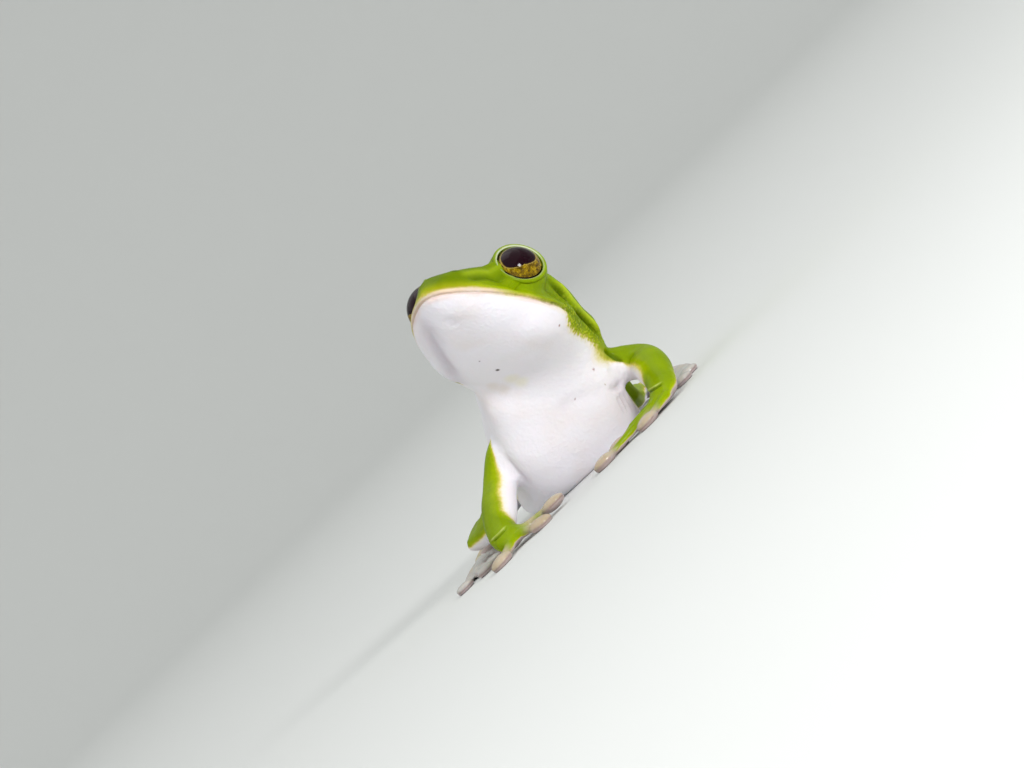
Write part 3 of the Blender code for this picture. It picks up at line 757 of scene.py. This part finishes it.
for side in EYES:
    middle, look = np.array(EYES[side]), eye_axes(side)[2]
    select_faces(skin, middle, CUT_REACH)
    cut = middle + look * LID_CUT
    bpy.ops.mesh.bisect(plane_co=tuple(cut * MM), plane_no=tuple(look), clear_outer=True)
    mode("OBJECT")
    select_faces(skin, middle, HOLE_REACH)
    bpy.ops.mesh.delete(type="FACE")
    bpy.ops.mesh.select_all(action="SELECT")
    bpy.ops.mesh.delete_loose()
    mode("OBJECT")
    cup = turned_cup(side)
    select_only(skin, cup)
    bpy.ops.object.join()
    mode("EDIT")
    bpy.ops.mesh.select_mode(type="EDGE")
    bpy.ops.mesh.select_all(action="DESELECT")
    bpy.ops.mesh.select_non_manifold()
    bpy.ops.mesh.bridge_edge_loops()
    bpy.ops.mesh.select_all(action="SELECT")
    bpy.ops.mesh.normals_make_consistent(inside=False)
    bpy.ops.mesh.select_all(action="DESELECT")
    bpy.ops.mesh.select_non_manifold()
    mode("OBJECT")
    print("lid", side, "open edges left:", sum(edge.select for edge in skin.data.edges))
skin.data.shade_smooth()
skin.data.calc_loop_triangles()
print("skin", len(skin.data.loop_triangles), "triangles")

# %% [markdown]
# ## The pattern of the skin
#
# The green coat and the white underside meet along a line that follows the body: under the lips, down
# the neck and along the flanks and limbs. A value is worked out for each point, in millimetres: above
# nothing is green, below is white. The material then turns that value into colours, with a grainy edge.

# %% Green on the trunk and neck
UNDERSIDE = np.array((-0.25, -0.6, -0.76))      # where the middle of the white faces
TRUNK_SHARP = 9
# By height: how far the green of the left flank, and of the right one, comes down
LEFT_FLANK = ((0, 0.1), (6, 0.2), (16, 0.72), (30, 0.72))
RIGHT_FLANK = ((0, 0.1), (6, 0.12), (16, 0.08), (30, 0.08))
SHOULDER_WHITE = 0.42
# On the left of the neck: height, and how far left the green begins
NECK_EDGE = ((7.4, 10.6), (8.3, 10.2), (9.6, 9.7), (11.0, 9.7), (11.8, 10.2), (13.4, 9.75), (15.1, 9.3),
             (16.5, 9.1), (18.2, 9.5), (19.2, 9.9), (22.0, 9.6))

belongs = shares(skin, 30)
edges = edges_of(skin)
points = corners(skin)
outward = form_directions[[form_tree.find_nearest(Vector(p))[2] for p in points]]
outward = averaged(outward, edges, 8)
low = points - np.array(CHEST)
height = low[:, 2]
ahead, leftward, upward = to_head(points).T


def read_off(values, table):
    """Values read from a table with rows of where and how much, evenly between its rows."""
    return np.interp(values, *np.array(table).T)


def around(line, width):
    """1 on a line on the skin, fading to nothing over about twice this width."""
    return np.exp(-(line_distance(points, line)[0] / width) ** 2)


leftwards = step(outward[:, 0], -0.2, 0.3)
shoulder = step(height, 8, 14) * step(height, 21, 17.5) * step(low[:, 1], 22.0, 17.5)
tilt = leftwards * read_off(height, LEFT_FLANK)
tilt += (1 - leftwards) * (read_off(height, RIGHT_FLANK) - SHOULDER_WHITE * shoulder)
trunk_green = (tilt - outward @ UNDERSIDE) * TRUNK_SHARP
beyond_edge = (low[:, 0] - read_off(height, NECK_EDGE)) * (1 - 0.5 * step(height, 12.0, 11.0))
neck_green = np.maximum(beyond_edge, (0.3 - outward @ UNDERSIDE) * TRUNK_SHARP)
on_neck = step(height, 7.0, 10.0) * leftwards
trunk_green += on_neck * (neck_green - trunk_green)
print("green on", round(100 * (trunk_green > 0).mean()), "% of the points, by the rule for the trunk")

# %% Green on the head and limbs
# By how far ahead of the jaw corners: how far above the mouth the green begins
LIP_EDGE = ((0, -0.35), (4, -0.15), (9, 0.05), (13.5, 0.5))
FAR_CHEEK = ((-5.05, 5.2), (-4.7, 4.4), (-4.35, 3.6), (-4.1, 2.9))     # a green streak
ARM_WHITE = {"left": (-0.8, 0.1, -0.6), "right": (0.75, -0.2, -0.63)}   # where the arms' white faces
KNEE_EDGE = {"left": 2.0, "right": -0.22}
FOREARM_EDGE = {"left": -0.35, "right": 0.0}

above_mouth = upward - lip_height(ahead)
on_face = step(ahead, -3.0, 1.0)
head_green = on_face * (above_mouth - read_off(ahead, LIP_EDGE)) + (1 - on_face) * trunk_green
head_green += 6 * around(sighted(skin_tree, spread(FAR_CHEEK)), 0.45)
green = belongs["torso"] * trunk_green + belongs["head"] * head_green
hand = (outward[:, 2] + 0.45) * 2.0
foot = (outward[:, 2] - 0.1) * 1.5 - 1.2
in_front = step(low[:, 1], 24.0, 15.0)
for side, direction in ARM_WHITE.items():
    arm = (0.3 - outward @ np.array(direction)) * 1.9
    leg = (outward[:, 2] + 0.15 * (1 - in_front) + KNEE_EDGE[side] * in_front) * 3.0
    for name, value in (("upper_arm_", arm), ("forearm_", arm + FOREARM_EDGE[side]), ("hand_", hand),
                        ("foot_", foot), ("thigh_", leg), ("shank_", leg)):
        green += belongs[name + side] * value
green = averaged(green, edges, 6)
attribute(skin, "green", green)
flank = belongs["torso"] * step(height, 4.0, 8.0) + belongs["head"] * step(ahead, 1.0, -1.0)
flank *= 1 - leftwards * step(height, 7.0, 9.0) * step(height, 12.2, 11.2)
attribute(skin, "grainy", flank * np.exp(-((green - 0.9) / 1.4) ** 2))
print("green on", round(100 * (green > 0).mean()), "% of the points")

# %% [markdown]
# ## Lips, digits and marks
#
# The smaller parts of the pattern each get a value of their own, high only where they are: the pale lips
# and bronze snout, the brown fingers and toes with their pads, the rims of the lids and a few specks. Two
# more
# values are painted shade: one along the throat fold and below the armpit, one in the groove round each
# disc. The material lays one colour over another with them, so each can be changed alone.

# %% Lips and snout
ARMPIT = ((9.4, -10.2), (9.2, -13.6))

on_head = belongs["head"]
above_lip = above_mouth * (1 + 0.9 * step(leftward, 1.0, -2.0))
upper_lip = step(ahead, 8.0, 13.0) * step(above_mouth, -0.05, 0.12) * step(above_lip, 0.8, 0.3)
lower_lip = step(ahead, 0.0, 3.0) * step(above_mouth, 0.1, 0.0) * step(above_mouth, -0.8, -0.2)
snout = step(ahead, 8.0, 15.0) * step(above_mouth, 0.1, 0.5) * step(above_mouth, 2.4, 0.7)
attribute(skin, "lip", on_head * upper_lip)
attribute(skin, "lower_lip", on_head * lower_lip)
attribute(skin, "snout", on_head * snout)
attribute(skin, "crown", on_head * step(ahead, 4.0, 11.0) * step(above_mouth, 1.0, 2.6))
attribute(skin, "mouth", around(mouth, 0.16) * inner(line_distance(points, mouth)[1], 0.06))
# Painted shade along the throat fold and below the armpit
attribute(skin, "shade", around(throat_fold, 1.3) + 0.8 * around(sighted(skin_tree, ARMPIT), 0.9))

# %% Fingers and toes
# How far back from the tips the brown of the digits reaches
BROWN_LENGTHS = ((FINGER_TIPS["left"], 3.4), (FINGER_TIPS["right"], 3.6), (TOE_TIPS["left"], 9.0),
                 (TOE_TIPS["right"], 9.0))

feet = belongs["foot_left"] + belongs["foot_right"]
attribute(skin, "feet", feet)
attribute(skin, "palms", feet + belongs["hand_left"] + belongs["hand_right"])
digits = np.zeros(len(points))
for tips, length in BROWN_LENGTHS:
    for joint, tip in tips:
        joint, tip = from_chest([joint, tip])
        along = (tip - joint) / np.linalg.norm(tip - joint)
        root = tip - along * length
        gap, share = line_distance(points, np.array((root, tip + along)))
        digits = np.maximum(digits, step(share, 0.05, 0.6) * (1 - step(gap, 1.6, 2.6)))
attribute(skin, "digits", averaged(digits, edges, 4))
pads, grooves = np.zeros(len(points)), np.zeros(len(points))
for centre, axes, disc in discs:
    local = (points - centre) @ axes.T
    on_disc = 1 - step(np.linalg.norm(local[:, :2], axis=1), disc * 1.05, disc * 1.35)
    on_disc *= np.abs(local[:, 2]) < disc
    pads = np.maximum(pads, on_disc * step(local[:, 2], 0.35, -0.15))
    # Painted shade in the groove round the front of each disc
    grooves = np.maximum(grooves, on_disc * step(local[:, 0], -0.7, 0.0) * np.exp(-(local[:, 2] / 0.1) ** 2))
attribute(skin, "pads", pads)
attribute(skin, "grooves", grooves)

# %% Lids and marks
lids = np.zeros(len(points))
for side in EYES:
    onward, above, look = eye_axes(side)
    from_eye = points - np.array(EYES[side])
    out = from_eye @ look
    ring = np.linalg.norm(from_eye - np.outer(out, look), axis=1)
    lower = step(from_eye @ above, 1.0, -1.5)
    rim = np.exp(-((ring - LID_RING) / 0.1) ** 2) * step(out, LID_EDGE, LID_EDGE + 0.1)
    lids = np.maximum(lids, rim * (0.35 + 0.65 * lower))
attribute(skin, "lids", lids)

for name, marks in ALL_MARKS.items():
    spots = np.zeros(len(points))
    for place, radius in marks:
        spot = sighted(skin_tree, [place])[0]
        from_spot = distance(points, spot)
        spots = np.maximum(spots, 1 - step(from_spot, radius * 0.3, radius * 1.3))
    attribute(skin, name, spots)
print("pattern on", len(points), "points")

# %% [markdown]
# ## Finish of the skin
#
# A tree frog's skin is smooth and moist, with fine grains along the flanks. The colours come from the
# values above, disturbed by noise so that no edge is a clean line, and the gloss from a thin wet coat.

# %% Helpers for materials
def srgb(r, g, b):
    """A colour as seen on a screen, 0 to 255, for a shader."""
    linear = [c / 255 / 12.92 if c <= 10 else ((c / 255 + 0.055) / 1.055) ** 2.4 for c in (r, g, b)]
    return (*linear, 1)


class Nodes:
    """Short ways to add and join shader nodes."""

    def __init__(self, name):
        self.material = bpy.data.materials.new(name)
        self.material.use_nodes = True
        self.tree = self.material.node_tree
        self.shader = self.tree.nodes["Principled BSDF"]
        self.place = self.add("ShaderNodeTexCoord").outputs["Object"]

    def add(self, kind, **settings):
        node = self.tree.nodes.new(kind)
        for key, value in settings.items():
            setattr(node, key, value)
        return node

    def put(self, value, socket):
        """Joins an output to a socket, or sets the socket to a number or colour."""
        if isinstance(value, bpy.types.NodeSocket):
            self.tree.links.new(value, socket)
        else:
            socket.default_value = value

    def math(self, operation, first, second=0.0, third=0.0, clamp=False):
        node = self.add("ShaderNodeMath", operation=operation, use_clamp=clamp)
        for value, socket in zip((first, second, third), node.inputs):
            self.put(value, socket)
        return node.outputs[0]

    def value(self, name):
        """A value kept on the mesh."""
        return self.add("ShaderNodeAttribute", attribute_name=name).outputs["Fac"]

    def noise(self, scale, detail=2.0, rough=0.5, place=None):
        node = self.add("ShaderNodeTexNoise")
        self.put(place or self.place, node.inputs["Vector"])
        for key, value in (("Scale", scale), ("Detail", detail), ("Roughness", rough)):
            node.inputs[key].default_value = value
        return node.outputs[0]

    def mix(self, share, first, second):
        node = self.add("ShaderNodeMix", data_type="RGBA")
        self.put(share, node.inputs[0])
        self.put(first, node.inputs[6])
        self.put(second, node.inputs[7])
        return node.outputs[2]

    def tint(self, base, where, share, colour):
        """Lays a share of a colour over the base where a socket, or a value on the mesh, is high."""
        where = self.value(where) if isinstance(where, str) else where
        return self.mix(self.math("MULTIPLY", where, share), base, colour)

    def cells(self, feature, scale, place=None):
        """The distance in a pattern of cells."""
        node = self.add("ShaderNodeTexVoronoi", feature=feature)
        self.put(place or self.place, node.inputs["Vector"])
        node.inputs["Scale"].default_value = scale
        return node.outputs["Distance"]

    def finish(self, **settings):
        """Sets the shader's own sockets, named with underscores for spaces."""
        for key, value in settings.items():
            self.put(value, self.shader.inputs[key.replace("_", " ")])
        return self.material

    def ramp(self, value, stops):
        """Colours along a value: stops are (where, colour) pairs."""
        node = self.add("ShaderNodeValToRGB")
        ramp = node.color_ramp
        ramp.elements[0].position, ramp.elements[0].color = stops[0]
        ramp.elements[1].position, ramp.elements[1].color = stops[-1]
        for where, colour in stops[1:-1]:
            ramp.elements.new(where).color = colour
        self.put(value, node.inputs[0])
        return node.outputs[0]

    def rise(self, value, low, high):
        """0 below low and 1 above high."""
        node = self.add("ShaderNodeMapRange", interpolation_type="SMOOTHSTEP")
        for value_in, socket in zip((value, low, high), node.inputs):
            self.put(value_in, socket)
        return node.outputs[0]


# %% The skin's colours
# From the white underside over the yellow edge to the green coat
COAT = ((0.26, srgb(240, 236, 243)), (0.36, srgb(238, 230, 218)), (0.44, srgb(212, 200, 84)),
        (0.53, srgb(166, 184, 0)), (0.68, srgb(138, 162, 0)))
OLIVE, LIME = srgb(94, 116, 0), srgb(202, 208, 44)
HAND_BROWN = ((0.3, srgb(172, 152, 120)), (0.7, srgb(192, 178, 156)))
FOOT_GREY = ((0.3, srgb(172, 166, 160)), (0.7, srgb(202, 198, 192)))
# Painted shade in the folds, on the white and on the green
WHITE_FOLD_SHADE, GREEN_FOLD_SHADE = srgb(168, 154, 164), srgb(60, 86, 0)


# %% Skin
def skin_material():
    s = Nodes("frog_skin")
    blotch = s.noise(260, 3)
    grain = s.noise(1900, 3, 0.6)
    cells = s.cells("SMOOTH_F1", 2300)
    grainy = s.value("grainy")

    rough_edge = s.math("MULTIPLY_ADD", s.math("SUBTRACT", grain, 0.5), 0.5, s.value("green"))
    beaded = s.math("MULTIPLY", grainy, s.math("MULTIPLY_ADD", cells, -1.3, 0.45))
    edge = s.math("ADD", s.math("ADD", rough_edge, beaded), s.math("MULTIPLY_ADD", blotch, 0.8, -0.4))
    edge = s.math("MULTIPLY_ADD", edge, 0.2, 0.4)
    greenness = s.rise(edge, 0.4, 0.5)
    clouds = s.math("ADD", s.math("MULTIPLY_ADD", s.noise(110, 2), 1.2, -0.45),
                    s.math("MULTIPLY_ADD", blotch, 0.7, -0.2))
    olive = s.math("ADD", clouds, s.math("MULTIPLY", s.value("crown"), 0.6), clamp=True)
    buds = s.math("MULTIPLY", grainy, s.rise(cells, 0.42, 0.2))
    warm = s.math("MULTIPLY", s.math("SUBTRACT", 1.0, greenness), s.rise(s.noise(120, 2), 0.5, 0.75))
    brown = s.mix(s.value("feet"), s.ramp(blotch, HAND_BROWN), s.ramp(blotch, FOOT_GREY))
    fold_shade_share = s.math("MULTIPLY_ADD", greenness, 0.9, 0.6)
    ridges = s.math("MULTIPLY", s.value("ridges"), 2.6, clamp=True)

    base = s.ramp(edge, COAT)
    # Each colour lies over those before it: where it is, how strong it is there, and the colour
    for where, share, colour in (
        (greenness, olive, OLIVE),
        # Painted shade along the throat fold and below the armpit
        ("shade", 0.4, srgb(190, 180, 194)),
        (buds, s.math("MULTIPLY", greenness, 0.6), LIME),
        (warm, 0.3, srgb(232, 216, 208)),
        ("yellow_marks", 0.25, srgb(236, 228, 150)),
        ("beige_marks", 0.3, srgb(214, 192, 168)),
        ("snout", 0.45, srgb(150, 138, 14)),
        ("lip", s.rise(blotch, 0.25, 0.55), srgb(226, 202, 178)),
        ("lower_lip", s.rise(blotch, 0.75, 0.3), srgb(232, 210, 204)),
        ("mouth", 0.75, srgb(142, 112, 104)),
        ("palms", s.rise(edge, 0.5, 0.38), srgb(188, 172, 170)),
        ("digits", 1.0, brown),
        ("pads", 0.8, srgb(166, 148, 150)),
        # Painted shade in the groove round each disc
        ("grooves", 0.6, srgb(120, 92, 88)),
    ):
        base = s.tint(base, where, share, colour)
    # Painted shade in the folds, the mouth and the nostril pits
    base = s.mix(s.math("MULTIPLY", s.value("folds"), fold_shade_share, clamp=True), base,
                 s.mix(greenness, WHITE_FOLD_SHADE, GREEN_FOLD_SHADE))
    for where, share, colour in (
        # Painted highlight on the raised folds
        (ridges, greenness, srgb(192, 210, 48)),
        # Painted highlight along the wrist edges
        ("glints", 0.8, srgb(220, 232, 130)),
        ("lids", 0.9, srgb(226, 230, 206)),
        ("dark_marks", 1.0, srgb(48, 32, 30)),
        ("red_marks", 0.8, srgb(138, 70, 62)),
    ):
        base = s.tint(base, where, share, colour)

    relief = s.math("MULTIPLY", cells, s.math("MULTIPLY_ADD", grainy, -1.6, -0.4))
    relief = s.math("ADD", relief, s.math("MULTIPLY", grain, 0.4))
    relief = s.math("ADD", relief, s.math("MULTIPLY", s.noise(520, 3, 0.6), 0.9))
    bump = s.add("ShaderNodeBump")
    bump.inputs["Strength"].default_value = 0.5
    bump.inputs["Distance"].default_value = 0.0002
    s.put(relief, bump.inputs["Height"])
    wetness = s.math("MULTIPLY_ADD", s.value("digits"), 0.75, 0.12)
    return s.finish(Base_Color=base, Roughness=s.math("MULTIPLY_ADD", grain, 0.16, 0.34),
                    Specular_IOR_Level=0.02, Normal=bump.outputs[0], Subsurface_Weight=0.08,
                    Subsurface_Scale=0.0005, Coat_Weight=wetness, Coat_Roughness=0.2)


skin.data.materials.clear()
skin.data.materials.append(skin_material())
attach(skin, "root")
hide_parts(*FLESH)
print("skin finished")

# %% [markdown]
# ## Eyes
#
# The frog's eye is a large wet ball with a golden iris and a dark oval pupil that lies level. The iris is
# worked out in the eye's own directions: along the pupil, across it, and out of the ball.

# %% Eyeballs
EYE_RADIUS = 3.4
# The pupil's half-axes, as a share of the eye's radius: along it, and across it downwards and upwards
PUPIL_LONG = {"left": 0.67, "right": 0.63}
PUPIL_LOW, PUPIL_HIGH = 0.48, 0.6
PUPIL_TOWARD = {"left": (0.726, 0.595, 0.345), "right": (0.82, 0.5, 0.24)}     # forward, outward and up
PUPIL_ROLL = math.radians(8)
OVAL = 2.3             # 2 would be an ellipse, and more is squarer
# The dark ring is partly the eye's own edge and partly painted shade under the lids
LIMBUS = 0.56          # the iris ends in a dark ring where the eye has turned this far from its opening
GOLD = ((0.36, srgb(70, 50, 0)), (0.5, srgb(124, 98, 0)), (0.64, srgb(172, 144, 14)))
# The darker top of the iris is painted shade from the upper lid
VEIN_BROWN, UPPER_LID_SHADE, RIM_GOLD = srgb(56, 38, 0), srgb(40, 36, 12), srgb(176, 156, 84)
PUPIL_BLACK, LIMBUS_AND_SHADE_BLACK = srgb(26, 2, 12), srgb(12, 8, 8)


def pupil_axes(side):
    """Along the pupil, across it and out of it, as rows."""
    sign = 1 if side == "left" else -1
    ahead, aside, above = PUPIL_TOWARD[side]
    toward = FORWARD * ahead + LEFT * sign * aside + UP * above
    toward.normalize()
    onward = (FORWARD - toward * FORWARD.dot(toward)).normalized()
    onward = Matrix.Rotation(-sign * PUPIL_ROLL, 3, toward) @ onward
    return onward, toward.cross(onward), toward


def eye_material(side):
    e = Nodes("eye_" + side)
    onward, across, toward = pupil_axes(side)
    turn = Matrix((onward, across, toward)).transposed()
    mapping = e.add("ShaderNodeMapping", vector_type="TEXTURE")
    mapping.inputs["Location"].default_value = EYES[side] * MM
    mapping.inputs["Rotation"].default_value = turn.to_euler()
    mapping.inputs["Scale"].default_value = (EYE_RADIUS * MM,) * 3
    e.put(e.place, mapping.inputs["Vector"])
    split = e.add("ShaderNodeSeparateXYZ")
    e.put(mapping.outputs[0], split.inputs[0])
    x, y, z = split.outputs
    above = -1.0 if side == "left" else 1.0
    y = e.math("MULTIPLY", y, above)
    size_x, size_y = e.math("ABSOLUTE", x), e.math("ABSOLUTE", y)
    notch = e.math("MULTIPLY", e.rise(size_x, 0.08, 0.0), 0.05)
    short = e.math("MULTIPLY_ADD", e.rise(y, -0.1, 0.1), PUPIL_HIGH - PUPIL_LOW, PUPIL_LOW)
    reach = e.math("ADD", e.math("POWER", e.math("DIVIDE", size_x, PUPIL_LONG[side]), OVAL),
                   e.math("POWER", e.math("DIVIDE", size_y, short), OVAL))
    reach = e.math("POWER", reach, 1 / OVAL)
    reach = e.math("ADD", reach, e.math("MULTIPLY", e.rise(y, -0.2, -0.3), notch))
    reach = e.math("ADD", reach, e.rise(z, 0.0, -0.1))
    iris = e.ramp(e.noise(7, 5, 0.65, mapping.outputs[0]), GOLD)
    veins = e.rise(e.cells("DISTANCE_TO_EDGE", 13, mapping.outputs[0]), 0.06, 0.0)
    iris = e.mix(veins, iris, VEIN_BROWN)
    # Painted shade from the upper lid over the top of the iris
    iris = e.tint(iris, e.rise(y, 0.0, 0.5), 0.75, UPPER_LID_SHADE)
    rim = e.rise(e.math("ABSOLUTE", e.math("SUBTRACT", reach, 1.03)), 0.04, 0.0)
    iris = e.tint(iris, rim, 0.6, RIM_GOLD)
    colour = e.mix(e.rise(reach, 1.02, 0.97), iris, PUPIL_BLACK)
    look = turn.transposed() @ Vector(eye_axes(side)[2])
    toward_lids = e.add("ShaderNodeVectorMath", operation="DOT_PRODUCT")
    e.put(mapping.outputs[0], toward_lids.inputs[0])
    toward_lids.inputs[1].default_value = look
    # A dark ring near the lids: partly the eye's own edge, partly painted shade
    colour = e.mix(e.rise(toward_lids.outputs["Value"], LIMBUS + 0.02, LIMBUS - 0.02), colour, LIMBUS_AND_SHADE_BLACK)
    return e.finish(Base_Color=colour, Roughness=0.35, Specular_IOR_Level=0.0, Coat_IOR=1.24,
                    Coat_Weight=1.0, Coat_Roughness=0.02)


for side in EYES:
    bpy.ops.object.select_all(action="DESELECT")
    bpy.ops.mesh.primitive_uv_sphere_add(segments=TURNED_SIDES, ring_count=TURNED_SIDES // 2,
                                         radius=EYE_RADIUS * MM)
    ball = bpy.context.object
    ball.name = "eyeball_" + side
    turn = Matrix(pupil_axes(side)).transposed().to_4x4()
    ball.data.transform(Matrix.Translation(EYES[side] * MM) @ turn)
    ball.data.shade_smooth()
    ball.data.materials.append(eye_material(side))
    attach(ball, "root")
    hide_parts("eye_" + side)
print("eyes at", [[round(v, 1) for v in place] for place in EYES.values()])

# %% [markdown]
# ## Studio
#
# The photo was lit by a flash from the front, a little to the right and above. A soft lamp stands there,
# with a weaker wide one on the other side, and pale daylight comes from above. The floor is one wide
# round sheet that curves up into a wall, so that no line shows behind the frog.

# %% Lamps and daylight
BACKDROP = (0.72, 0.73, 0.72)


def area_light(name, toward, away, size, power):
    """A square lamp in that direction from the frog, facing it."""
    lamp = new_object(name, bpy.data.lights.new(name, "AREA"))
    lamp.data.size, lamp.data.energy = size, power
    toward = Vector(toward).normalized()
    lamp.location = TARGET * MM + toward * away
    lamp.rotation_euler = toward.to_track_quat("Z", "Y").to_euler()


# Where each lamp stands from the frog, how far and how wide in metres, and its power in watts
area_light("key", (0.5, -0.8, 0.32), 0.6, 0.12, 2.2)
area_light("fill", (-0.45, -1.0, 0.02), 0.9, 0.8, 1.5)
area_light("top", (0.1, 0.3, 1.0), 0.9, 0.6, 1.0)

world = bpy.data.worlds.new("world")
bpy.context.scene.world = world
world.use_nodes = True
daylight = world.node_tree.nodes["Background"]
daylight.inputs["Color"].default_value = (*BACKDROP, 1)
daylight.inputs["Strength"].default_value = 1.15
print(len(bpy.data.lights), "lamps")

# %% Floor
FLOOR_RADIUS, RIM_CURVE, WALL_HEIGHT = 1.3, 0.5, 1.3     # metres
profile = [(0.0, 0.0), (FLOOR_RADIUS * 0.5, 0.0), (FLOOR_RADIUS, 0.0)]
profile += [(FLOOR_RADIUS + RIM_CURVE * math.sin(a), RIM_CURVE * (1 - math.cos(a)))
            for a in np.linspace(0.1, math.pi / 2, 14)]
profile += [(FLOOR_RADIUS + RIM_CURVE, WALL_HEIGHT)]
mesh = bpy.data.meshes.new("floor")
mesh.from_pydata([(r, 0, z) for r, z in profile], [(i, i + 1) for i in range(len(profile) - 1)], [])
floor = new_object("floor", mesh)
turn_round(floor, 1e-5)
floor.data.shade_smooth()
floor.data.materials.append(Nodes("stage").finish(Base_Color=(*BACKDROP, 1), Roughness=0.8))
print("floor", len(floor.data.polygons), "faces")
bpy.context.scene.view_settings.view_transform = "Standard"
